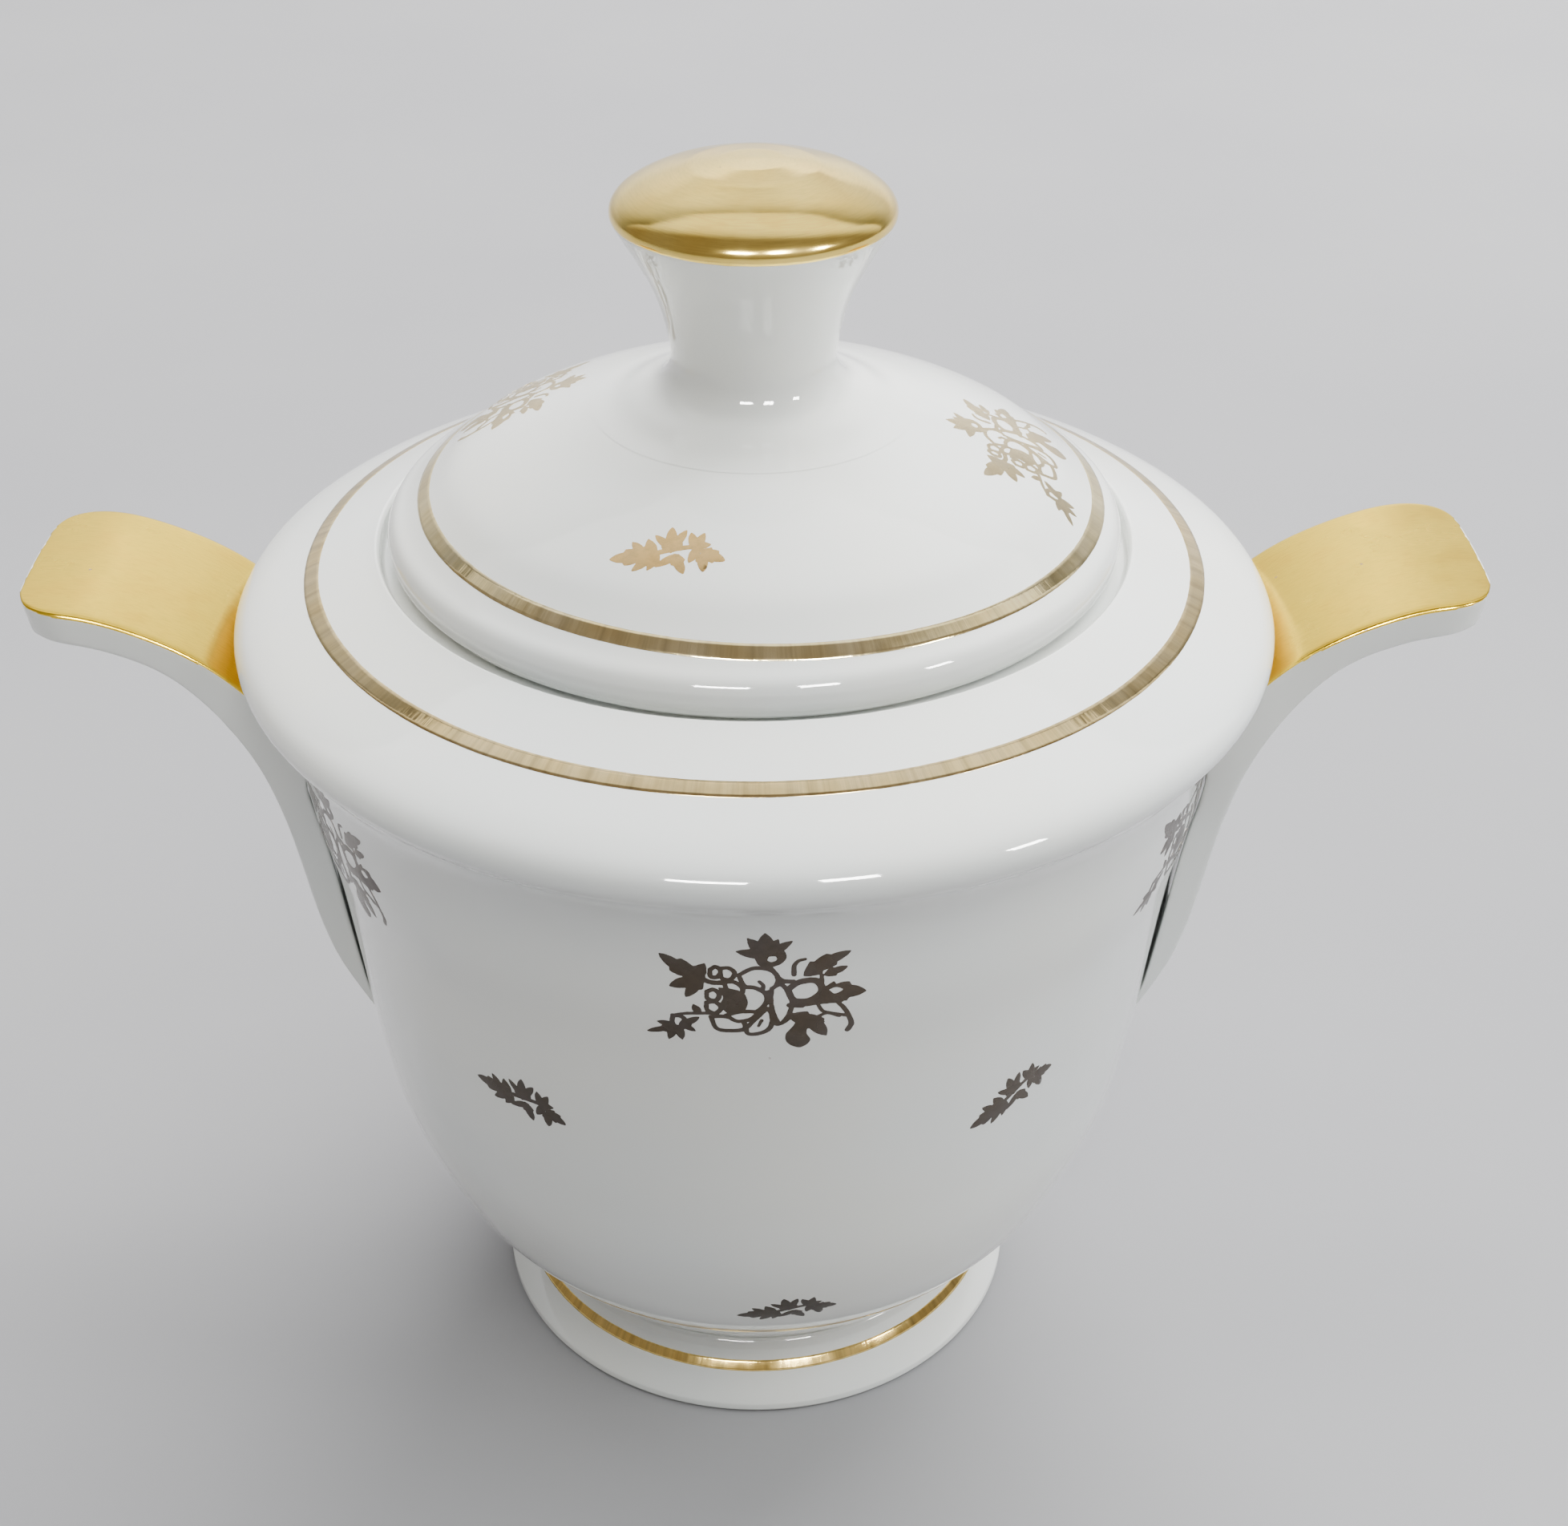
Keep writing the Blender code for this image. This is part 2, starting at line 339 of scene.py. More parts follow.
def band(name, curve, middle_z, width, materials, seed, shift=0.0, count=900, film=0.035):
    """A painted gold line round a turned surface: a closed film whose edges waver a little. shift puts its centre off the axis in X."""
    lengths = lengths_of(curve)
    middle = length_at_height(curve, middle_z)
    sign = 1.0
    bm = bmesh.new()
    uv = bm.loops.layers.uv.new("UVMap")
    across = (-1.0, -0.93, -0.55, 0.0, 0.55, 0.93, 1.0)
    lift = (-0.05, film * 0.75, film, film * 1.05, film, film * 0.75, -0.05)
    sections = []
    for k in range(count):
        t = 2 * math.pi * k / count
        p0, n0 = side_point(curve, middle, lengths)
        slope = 1.0 / max(abs(n0[1]), 0.35)
        centre = middle - shift * math.cos(t) * slope * (1 if curve[-1][0] < curve[0][0] else -1)
        low = centre - width / 2 + waver(t, seed, 0.10)
        high = centre + width / 2 + waver(t, seed + 31.0, 0.10)
        top, bottom = [], []
        for a, up in zip(across, lift):
            s = (low + high) / 2 + a * (high - low) / 2
            p, n = side_point(curve, s, lengths)
            n = n * sign
            q = p + n * up
            top.append(bm.verts.new((q[0] * math.cos(t) * MM, q[0] * math.sin(t) * MM, q[1] * MM)))
            if up > 0:
                q = p - n * 0.12
                bottom.append(bm.verts.new((q[0] * math.cos(t) * MM, q[0] * math.sin(t) * MM, q[1] * MM)))
        sections.append(top + bottom[::-1])
    size = len(sections[0])
    for k in range(count):
        a, b = sections[k], sections[(k + 1) % count]
        for i in range(size):
            j = (i + 1) % size
            face = bm.faces.new((a[i], a[j], b[j], b[i]))
            for corner, (kk, ii) in zip(face.loops, ((k, i), (k, i + 1), (k + 1, i + 1), (k + 1, i))):
                corner[uv].uv = (kk / count * 2 * math.pi * p0[0] * MM * 10, ii / size * 0.04)
    return finish_mesh(bm, name, materials, 60.0)


# ------------------------------------------------------------------ materials


def nodes_of(name):
    made = bpy.data.materials.new(name)
    made.use_nodes = True
    tree = made.node_tree
    return made, tree, tree.nodes["Principled BSDF"]


def add(tree, kind, **values):
    node = tree.nodes.new(kind)
    for key, value in values.items():
        if key in ("operation", "blend_type", "data_type", "noise_dimensions", "feature", "distance", "attribute_name", "interpolation_type", "clamp", "normalize", "uv_map", "clamp_result"):
            setattr(node, key, value)
        else:
            node.inputs[key.replace("_", " ")].default_value = value
    return node


def ramp(tree, source, stops):
    node = tree.nodes.new("ShaderNodeValToRGB")
    node.color_ramp.elements[0].position, node.color_ramp.elements[0].color = stops[0]
    node.color_ramp.elements[1].position, node.color_ramp.elements[1].color = stops[-1]
    for at, colour in stops[1:-1]:
        made = node.color_ramp.elements.new(at)
        made.color = colour
    tree.links.new(source, node.inputs["Fac"])
    return node.outputs["Color"]


def grey(v):
    return (v, v, v, 1.0)


def fixed(shader, **values):
    for key, value in values.items():
        shader.inputs[key.replace("_", " ")].default_value = value


def maths(tree, operation, a, b=None, clamp=False):
    node = tree.nodes.new("ShaderNodeMath")
    node.operation = operation
    node.use_clamp = clamp
    for socket, value in zip(node.inputs, (a, b)):
        if value is None:
            continue
        if isinstance(value, (int, float)):
            socket.default_value = value
        else:
            tree.links.new(value, socket)
    return node.outputs[0]


def mixed(tree, factor, a, b):
    node = tree.nodes.new("ShaderNodeMix")
    node.data_type = "RGBA"
    tree.links.new(factor, node.inputs["Factor"])
    for socket, value in ((node.inputs[6], a), (node.inputs[7], b)):
        if isinstance(value, tuple):
            socket.default_value = value
        else:
            tree.links.new(value, socket)
    return node.outputs[2]


def porcelain(name, tint=(0.80, 0.815, 0.79), rough=0.038):
    """Clear glaze over white porcelain: faint unevenness of tone, a slow swell and fine orange peel in the glaze, a few specks and pinholes."""
    made, tree, shader = nodes_of(name)
    link_ = tree.links.new
    place = tree.nodes.new("ShaderNodeTexCoord").outputs["Object"]
    cloud = add(tree, "ShaderNodeTexNoise", Scale=26.0, Detail=3.0, Roughness=0.5)
    link_(place, cloud.inputs["Vector"])
    warm = tuple(c * k for c, k in zip(tint, (1.012, 1.0, 0.975)))
    cool = tuple(c * k for c, k in zip(tint, (0.975, 0.99, 1.005)))
    body = ramp(tree, cloud.outputs["Fac"], [(0.36, (*cool, 1.0)), (0.64, (*warm, 1.0))])
    speck = add(tree, "ShaderNodeTexVoronoi", Scale=210.0, Randomness=1.0)
    link_(place, speck.inputs["Vector"])
    rare = add(tree, "ShaderNodeTexNoise", Scale=150.0, Detail=0.0)
    link_(place, rare.inputs["Vector"])
    dot = maths(tree, "LESS_THAN", speck.outputs["Distance"], 0.045)
    few = maths(tree, "GREATER_THAN", rare.outputs["Fac"], 0.735)
    both = maths(tree, "MULTIPLY", dot, few)
    soft = maths(tree, "MULTIPLY", both, 0.45)
    colour = mixed(tree, soft, body, (0.30, 0.25, 0.19, 1.0))
    pool = tree.nodes.new("ShaderNodeAttribute")
    pool.attribute_name = "pool"
    amount = maths(tree, "MULTIPLY", pool.outputs["Fac"], 0.5)
    colour = mixed(tree, amount, colour, tuple(c * k for c, k in zip(tint, (0.86, 0.94, 0.93))) + (1.0,))
    link_(colour, shader.inputs["Base Color"])
    haze = add(tree, "ShaderNodeTexNoise", Scale=60.0, Detail=4.0, Roughness=0.6)
    link_(place, haze.inputs["Vector"])
    roughness = tree.nodes.new("ShaderNodeMapRange")
    roughness.inputs["From Min"].default_value = 0.35
    roughness.inputs["From Max"].default_value = 0.7
    roughness.inputs["To Min"].default_value = rough * 0.8
    roughness.inputs["To Max"].default_value = rough * 1.7
    link_(haze.outputs["Fac"], roughness.inputs["Value"])
    link_(roughness.outputs["Result"], shader.inputs["Roughness"])
    swell = add(tree, "ShaderNodeTexNoise", Scale=55.0, Detail=1.0, Roughness=0.4)
    peel = add(tree, "ShaderNodeTexNoise", Scale=620.0, Detail=2.0, Roughness=0.5)
    link_(place, swell.inputs["Vector"])
    link_(place, peel.inputs["Vector"])
    first = add(tree, "ShaderNodeBump", Strength=1.0, Distance=0.000028)
    link_(swell.outputs["Fac"], first.inputs["Height"])
    second = add(tree, "ShaderNodeBump", Strength=1.0, Distance=0.0000013)
    link_(peel.outputs["Fac"], second.inputs["Height"])
    link_(first.outputs["Normal"], second.inputs["Normal"])
    link_(second.outputs["Normal"], shader.inputs["Normal"])
    fixed(shader, IOR=1.52, Metallic=0.0, Subsurface_Weight=0.0)
    fixed(shader, Coat_Weight=0.6, Coat_Roughness=0.015, Coat_IOR=1.5)
    made.diffuse_color = (*tint, 1.0)
    return made


def gold(name, colour=(0.96, 0.79, 0.33), rough=0.14, streak=(90.0, 900.0), wear=0.5, relief=0.000006, use_uv=True, lines=0.88):
    """Bright fired gold: brush streaks along its UVs, cloudy thin spots, pinholes where the glaze shows through."""
    made, tree, shader = nodes_of(name)
    link_ = tree.links.new
    coords = tree.nodes.new("ShaderNodeTexCoord")
    place = coords.outputs["Object"]
    along = coords.outputs["UV"] if use_uv else place
    stretch = tree.nodes.new("ShaderNodeMapping")
    stretch.inputs["Scale"].default_value = (streak[0], streak[1], streak[1] if not use_uv else 1.0)
    link_(along, stretch.inputs["Vector"])
    brush = add(tree, "ShaderNodeTexNoise", Scale=1.0, Detail=4.0, Roughness=0.6)
    link_(stretch.outputs["Vector"], brush.inputs["Vector"])
    cloud = add(tree, "ShaderNodeTexNoise", Scale=170.0, Detail=3.0, Roughness=0.55)
    link_(place, cloud.inputs["Vector"])
    deep = tuple(c * k for c, k in zip(colour, (0.96, 0.92, 0.84)))
    pale = tuple(min(c * k, 1.0) for c, k in zip(colour, (1.01, 1.03, 1.14)))
    tone = ramp(tree, cloud.outputs["Fac"], [(0.33, (*deep, 1.0)), (0.5, (*colour, 1.0)), (0.68, (*pale, 1.0))])
    marks = ramp(tree, brush.outputs["Fac"], [(0.34, grey(lines)), (0.56, grey(1.0))])
    both = tree.nodes.new("ShaderNodeMix")
    both.data_type = "RGBA"
    both.blend_type = "MULTIPLY"
    both.inputs["Factor"].default_value = 1.0
    link_(tone, both.inputs[6])
    link_(marks, both.inputs[7])
    pin = add(tree, "ShaderNodeTexVoronoi", Scale=520.0, Randomness=1.0)
    link_(place, pin.inputs["Vector"])
    rare = add(tree, "ShaderNodeTexNoise", Scale=230.0, Detail=1.0)
    link_(place, rare.inputs["Vector"])
    dot = maths(tree, "LESS_THAN", pin.outputs["Distance"], 0.13)
    few = maths(tree, "GREATER_THAN", rare.outputs["Fac"], 0.72 - 0.06 * wear)
    hole = maths(tree, "MULTIPLY", dot, few)
    base = mixed(tree, hole, both.outputs[2], (0.30, 0.20, 0.10, 1.0))
    link_(base, shader.inputs["Base Color"])
    metal = maths(tree, "SUBTRACT", 1.0, maths(tree, "MULTIPLY", hole, 0.75), True)
    link_(metal, shader.inputs["Metallic"])
    grain = tree.nodes.new("ShaderNodeMapRange")
    grain.inputs["From Min"].default_value = 0.3
    grain.inputs["From Max"].default_value = 0.72
    grain.inputs["To Min"].default_value = rough * 0.7
    grain.inputs["To Max"].default_value = rough * 1.6
    link_(cloud.outputs["Fac"], grain.inputs["Value"])
    link_(grain.outputs["Result"], shader.inputs["Roughness"])
    first = add(tree, "ShaderNodeBump", Strength=1.0, Distance=relief)
    link_(brush.outputs["Fac"], first.inputs["Height"])
    second = add(tree, "ShaderNodeBump", Strength=1.0, Distance=relief * 1.6)
    link_(cloud.outputs["Fac"], second.inputs["Height"])
    link_(first.outputs["Normal"], second.inputs["Normal"])
    link_(second.outputs["Normal"], shader.inputs["Normal"])
    made.diffuse_color = (*colour, 1.0)
    return made


def unglazed(name):
    """The ground foot rim: matt, finely sandy, a little soiled."""
    made, tree, shader = nodes_of(name)
    place = tree.nodes.new("ShaderNodeTexCoord").outputs["Object"]
    dirt = add(tree, "ShaderNodeTexNoise", Scale=190.0, Detail=6.0, Roughness=0.65)
    tree.links.new(place, dirt.inputs["Vector"])
    colour = ramp(tree, dirt.outputs["Fac"], [(0.32, (0.56, 0.52, 0.45, 1.0)), (0.5, (0.74, 0.72, 0.66, 1.0)), (0.7, (0.80, 0.79, 0.74, 1.0))])
    tree.links.new(colour, shader.inputs["Base Color"])
    sand = add(tree, "ShaderNodeTexNoise", Scale=2600.0, Detail=3.0, Roughness=0.6)
    tree.links.new(place, sand.inputs["Vector"])
    bump = add(tree, "ShaderNodeBump", Strength=0.6, Distance=0.00003)
    tree.links.new(sand.outputs["Fac"], bump.inputs["Height"])
    tree.links.new(bump.outputs["Normal"], shader.inputs["Normal"])
    rough = tree.nodes.new("ShaderNodeMapRange")
    rough.inputs["To Min"].default_value = 0.62
    rough.inputs["To Max"].default_value = 0.85
    tree.links.new(sand.outputs["Fac"], rough.inputs["Value"])
    tree.links.new(rough.outputs["Result"], shader.inputs["Roughness"])
    return made


GLAZE_BOWL = porcelain("glaze_bowl")
GLAZE_FOOT = porcelain("glaze_foot")
GLAZE_HANDLE = porcelain("glaze_handle")
GLAZE_LID = porcelain("glaze_lid")
BISQUE = unglazed("ground_rim")
GOLD_BAND = gold("gold_band", colour=(0.98, 0.82, 0.43), rough=0.12, streak=(62.0, 4.0), relief=0.00004, lines=0.74)
# The shoulder band's gold is a darker, browner copy of the lid band's gold: a painted reflection of a dark room darkens
# it.
GOLD_BAND_WITH_PAINTED_REFLECTION = gold("gold_band_bowl_painted_reflection", colour=(0.79, 0.62, 0.30), rough=0.13, streak=(62.0, 4.0), relief=0.00004, lines=0.66)
GOLD_BAND_FOOT = gold("gold_band_foot", colour=(0.90, 0.66, 0.21), rough=0.12, streak=(62.0, 4.0), relief=0.00004, lines=0.60)
GOLD_HANDLE = gold("gold_handle", colour=(0.98, 0.67, 0.045), rough=0.19, streak=(60.0, 420.0), relief=0.000008, wear=0.25)
GOLD_KNOB = gold("gold_knob", colour=(0.97, 0.71, 0.17), rough=0.12, streak=(30.0, 260.0), relief=0.000004)
# Near-black gold for the bowl's flower sprays: a painted reflection of a dark room, not the gold's own colour.
GOLD_FLOWER_PAINTED_REFLECTION = gold("gold_flower_painted_reflection", colour=(0.090, 0.074, 0.060), rough=0.26, streak=(900.0, 900.0), relief=0.000008, use_uv=False)
# Darker, browner gold for the lid's sprigs: partly the gold's own tone, partly a painted reflection of a dark room.
GOLD_SPRIG_LID_PAINTED_REFLECTION = gold("gold_sprig_lid_painted_reflection", colour=(0.66, 0.45, 0.18), rough=0.16, streak=(900.0, 900.0), relief=0.000008, use_uv=False)
GOLD_FLOWER_LID = gold("gold_flower_lid", colour=(0.82, 0.67, 0.37), rough=0.24, streak=(900.0, 900.0), relief=0.000008, use_uv=False)


# ------------------------------------------------------------------ turned pieces


def bowl_piece():
    seat = rounded(
        [
            BOWL_CURVE[-1],
            (44.3, 113.7),
            (43.9, 113.2),
            (43.7, 111.6),
            (40.2, 111.6),
            (39.2, 110.6),
            (39.2, 107.2),
            (40.2, 106.0),
        ],
        {1: 0.4, 2: 0.4, 3: 0.5, 4: 0.4, 5: 0.6, 6: 1.2},
    )
    inside = [tuple(p) for p in eased(resampled(list(reversed(spline(INSIDE_STATIONS, 12))), 1.2), 4)]
    neck = [tuple(q) for q in resampled(spline(((30.4, 8.9), (30.45, 9.35), (30.95, 10.15), (32.1, 11.3), (33.2, 12.4)), 8), 0.4)]
    start = next(i for i, q in enumerate(BOWL_CURVE) if q[1] > 13.0)
    under = rounded([(0.0, 13.2), (18.0, 12.9), (26.0, 12.4), (28.6, 10.4), (29.6, 9.0), (30.4, 8.85)], {1: 8.0, 2: 1.5, 3: 1.0, 4: 0.5})
    floor_inside = [(20.0, 16.15), (14.0, 16.02), (0.0, 16.0)]
    outline = under + neck + BOWL_CURVE[start:-1] + seat + inside[1:] + floor_inside
    made = turned("bowl_glazed", outline, [GLAZE_BOWL])
    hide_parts("bowl_body")
    return made


def foot_piece():
    outline = [
        (29.0, 0.0),
        (34.5, 0.0),
        (35.3, 0.5),
        (35.2, 1.5),
        (34.2, 3.2),
        (32.9, 5.0),
        (31.9, 6.3),
        (31.15, 7.4),
        (31.05, 8.75),
        (30.65, 9.15),
        (30.3, 8.7),
        (29.0, 9.2),
        (28.2, 12.7),
        (26.6, 12.7),
        (26.3, 11.0),
        (26.5, 7.0),
        (27.8, 2.6),
        (28.6, 0.4),
    ]
    radii = {0: 0.3, 1: 0.7, 2: 0.8, 3: 0.8, 7: 0.5, 8: 0.35, 9: 0.25, 10: 0.2, 15: 2.0, 16: 2.0, 17: 0.3}
    outline = rounded(outline, radii, True)
    made = turned(
        "foot_glazed",
        outline,
        [GLAZE_FOOT, BISQUE],
        pick=lambda a, b: 1 if max(a[1], b[1]) < 0.12 else 0,
    )
    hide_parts("foot_ring")
    return made


def lid_pieces():
    underside = rounded(
        [
            LID_CURVE[0],
            (42.6, 113.6),
            (41.8, 112.6),
            (41.0, 111.9),
            (35.2, 111.9),
            (35.2, 116.4),
            (33.0, 119.4),
            (27.5, 122.3),
            (20.0, 125.0),
            (10.0, 126.6),
            (0.0, 126.9),
        ],
        {1: 0.8, 2: 0.5, 3: 0.5, 4: 0.3, 5: 0.8, 6: 2.0, 7: 3.0, 8: 4.0, 9: 5.0},
    )
    top = list(reversed(LID_CURVE))
    outline = [(0.0, 129.0), (14.0, 129.4)] + top + underside[1:]
    shell = turned("lid_glazed", outline, [GLAZE_LID])
    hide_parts("lid_shell")
    collar_outline = rounded(
        [
            (38.2, 112.4),
            (35.0, 112.4),
            (35.8, 110.8),
            (35.8, 105.5),
            (36.4, 105.0),
            (37.3, 105.0),
            (37.9, 105.8),
            (38.2, 110.6),
        ],
        {2: 0.8, 3: 0.4, 4: 0.4, 5: 0.5, 6: 0.6},
        True,
    )
    collar = turned("lid_collar_glazed", collar_outline, [GLAZE_LID])
    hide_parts("lid_collar")
    base = [(0.0, 128.4), (17.0, 128.6), (18.2, 129.05)]
    stem = smooth_curve(((18.6, 129.0), (16.2, 129.72), *KNOB_STATIONS), 0.4, 6)
    cap = [(3.5, 157.33), (0.0, 157.5)]
    knob = turned("lid_knob_glazed", base + stem + cap, [GLAZE_LID], 192)
    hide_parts("lid_knob")
    return shell, collar, knob


def knob_gilding():
    """The gold over the cap, down to its widest line, where it ends in a slightly uneven brushed edge."""
    curve = [q for q in smooth_curve(((13.6, 147.6), (15.2, 150.3), (15.8, 151.8), (15.2, 153.2), (12.4, 155.0), (7.0, 156.8)), 0.35, 5)]
    curve += [(3.5, 157.33), (0.0, 157.5)]
    lengths = lengths_of(curve)
    start = length_at_height(curve[:20], 151.15)
    count, rows = 192, 46
    bm = bmesh.new()
    uv = bm.loops.layers.uv.new("UVMap")
    outer, inner = [], []
    for i in range(rows):
        ring_out, ring_in = [], []
        for k in range(count):
            t = 2 * math.pi * k / count
            low = start + waver(t, 5.0, 0.16)
            s = low + (lengths[-1] - 0.6 - low) * (i / (rows - 1)) ** 1.25
            p, n = side_point(curve, s, lengths)
            rise = 0.04 * min(1.0, i / 2.0)
            for ring, up in ((ring_out, rise if i else -0.05), (ring_in, -0.2)):
                q = p + n * up
                ring.append(bm.verts.new((q[0] * math.cos(t) * MM, q[0] * math.sin(t) * MM, q[1] * MM)))
        outer.append(ring_out)
        inner.append(ring_in)
    top = bm.verts.new((0, 0, 157.54 * MM))
    bottom = bm.verts.new((0, 0, 157.3 * MM))

    def quad(a, b, c, d, i, k):
        face = bm.faces.new((a, b, c, d))
        for corner, (ii, kk) in zip(face.loops, ((i, k), (i, k + 1), (i + 1, k + 1), (i + 1, k))):
            corner[uv].uv = (kk / count, ii / rows * 0.3)

    for k in range(count):
        m = (k + 1) % count
        for i in range(rows - 1):
            quad(outer[i][k], outer[i][m], outer[i + 1][m], outer[i + 1][k], i, k)
            quad(inner[i][m], inner[i][k], inner[i + 1][k], inner[i + 1][m], i, k)
        quad(inner[0][k], inner[0][m], outer[0][m], outer[0][k], 0, k)
        bm.faces.new((outer[-1][k], outer[-1][m], top))
        bm.faces.new((inner[-1][m], inner[-1][k], bottom))
    return finish_mesh(bm, "gilt_knob_cap", [GOLD_KNOB], 60.0)


# ------------------------------------------------------------------ handles


def handle_cage(name):
    """Stations of a handle as 4 x 10 grids of points: through its thickness, and across it."""
    side, reach, lift, opening = HANDLES[name]
    curve = spline(TONGUE_STATIONS, 10)
    top = [(x, z + lift) for x, z in curve]
    under = spline(
        (*LEG_STATIONS, *((x, height_at(curve, x) - TONGUE_T / math.cos(tilt)) for x, tilt in ((70.5, 0.5), (76.0, 0.28), (81.0, 0.12)))),
        8,
    )
    under = [(x, z + lift * min(max((x - 56.0) / 10.0, 0.0), 1.0)) for x, z in under]
    lengths = lengths_of(under)

    def wall(z):
        along = min(max((z - 49.4) / 43.2, 0.0), 1.0)
        return height_at(SIDE, z) - BURY + (0.62 * opening + BURY + 0.05) * math.sin(math.pi * along) ** 0.34

    def root(y):
        low, high = 88.0, 99.5
        for _ in range(30):
            z = (low + high) / 2
            x = math.sqrt(max((height_at(SIDE, z) - 1.5) ** 2 - y * y, 1.0))
            low, high = (low, z) if height_at(top, x) < z else (z, high)
        return (low + high) / 2

    begin = height_at(SIDE, root(0.0)) - 1.5
    last = (8.8, 6.8, 5.2, 3.8, 2.6, 1.6, 0.8, 0.0)  # distances from the tip
    middles = [begin + (reach - last[0] - begin) * i / 9 for i in range(1, 9)] + [reach - d for d in last]
    leg_count, tongue_count = 14, len(middles)
    total = leg_count + tongue_count
    corner, power = 6.2, 2.3

    def outer(share):
        want = min(max(share, 0.0), 1.0) * lengths[-1]
        return (
            float(np.interp(want, lengths, [q[0] for q in under])),
            float(np.interp(want, lengths, [q[1] for q in under])),
        )

    edge = 1.15
    grids = []
    shares = [i / leg_count * 0.5217 for i in range(leg_count + 1)]
    for station in range(total + 1):
        if station <= leg_count:
            f = station / leg_count
            share = shares[station]
            g = 0.0
        else:
            g = ((middles[station - leg_count - 1] - begin) / (reach - begin)) ** (1 / 0.85)
            share = 0.5217 + (1 - 0.5217) * g
        half = (LEG_W + (HANDLE_W - LEG_W) * min(share / 0.5, 1.0)) / 2
        edge_x, edge_z = outer(max(share - 0.04, 0.0) / 0.96)
        ends = []
        for a in (-1.0, -(1 - edge / half), -0.72, -0.42, -0.14, 0.14, 0.42, 0.72, 1 - edge / half, 1.0):
            ends.append(a)
        near, far = [], []
        for a in ends:
            trim = 0.0
            if g > 0:
                left = (corner - (reach - middles[station - leg_count - 1])) / corner
                trim = corner * (1 - (1 - max(left, 0.0) ** power) ** (1 / power))
            y = (half - trim) * a
            if station == 0:
                r = height_at(SIDE, 47.4)
                near.append((math.sqrt((r - 1.4) ** 2 - y * y), y, 47.4))
                far.append((math.sqrt((r - 0.45) ** 2 - y * y), y, 47.7))
                continue
            top_z = root(y)
            if station < leg_count:
                z = LEG_FOOT_Z + (top_z - 1.6 - LEG_FOOT_Z) * f
                near.append((math.sqrt(wall(z) ** 2 - y * y), y, z))
            else:
                start = math.sqrt((height_at(SIDE, top_z) - 1.5) ** 2 - y * y)
                x = start + (reach - start) * g**0.85 - 0.7 * g**3 * (y / half) ** 2
                near.append((x, y, height_at(top, x)))
            bow = max(1.0 - share / 0.45, 0.0)
            r = edge_x + 3.0
            x = edge_x + bow * (math.sqrt(r * r - y * y) - math.sqrt(r * r - half * half))
            far.append((x, y, edge_z))
        if g > 0.30:
            turn = min((g - 0.30) / 0.15, 1.0)
            swept = [
                (x - 0.9 + (0.3 if station >= total - 1 else 0.0), y, height_at(top, x) - TONGUE_T * (1.0 + 0.34 * (1 - g)))
                for x, y, _ in near
            ]
            far = [tuple(p * (1 - turn) + q * turn for p, q in zip(a, b)) for a, b in zip(far, swept)]
        grid = []
        for share_through in (0, 1, 2, 3):
            row = []
            for a, b in zip(near, far):
                gap = math.dist(a, b)
                e = min(edge / gap, 0.3)
                t = (0.0, e, 1 - e, 1.0)[share_through]
                row.append(tuple((p + (q - p) * t) for p, q in zip(a, b)))
            grid.append(row)
        grids.append([[(side * x, y, z) for x, y, z in row] for row in grid])
    return grids


def handle_piece(name, finish):
    grids = handle_cage(name)
    wide = len(grids[0][0])
    bm = bmesh.new()
    loops, caps = [], {}
    for n, grid in enumerate(grids):
        verts = {}

        def v(i, j):
            if (i, j) not in verts:
                verts[(i, j)] = bm.verts.new(tuple(c * MM for c in grid[i][j]))
            return verts[(i, j)]

        ring = (
            [v(0, j) for j in range(wide)]
            + [v(1, wide - 1), v(2, wide - 1)]
            + [v(3, j) for j in reversed(range(wide))]
            + [v(2, 0), v(1, 0)]
        )
        loops.append(ring)
        if n in (0, len(grids) - 1):
            for i in range(3):
                for j in range(wide - 1):
                    bm.faces.new((v(i, j), v(i, j + 1), v(i + 1, j + 1), v(i + 1, j)))
    for a, b in zip(loops, loops[1:]):
        for i in range(len(a)):
            j = (i + 1) % len(a)
            bm.faces.new((a[i], a[j], b[j], b[i]))
    made = finish_mesh(bm, name + "_glazed", [finish], 180.0)
    smooth = made.modifiers.new("smooth", "SUBSURF")
    smooth.levels = smooth.render_levels = 3
    smooth.subdivision_type = "CATMULL_CLARK"
    baked = bpy.data.meshes.new_from_object(made.evaluated_get(bpy.context.evaluated_depsgraph_get()))
    made.modifiers.clear()
    made.data = baked
    baked.name = made.name
    baked.shade_smooth()
    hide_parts(name)
    return made


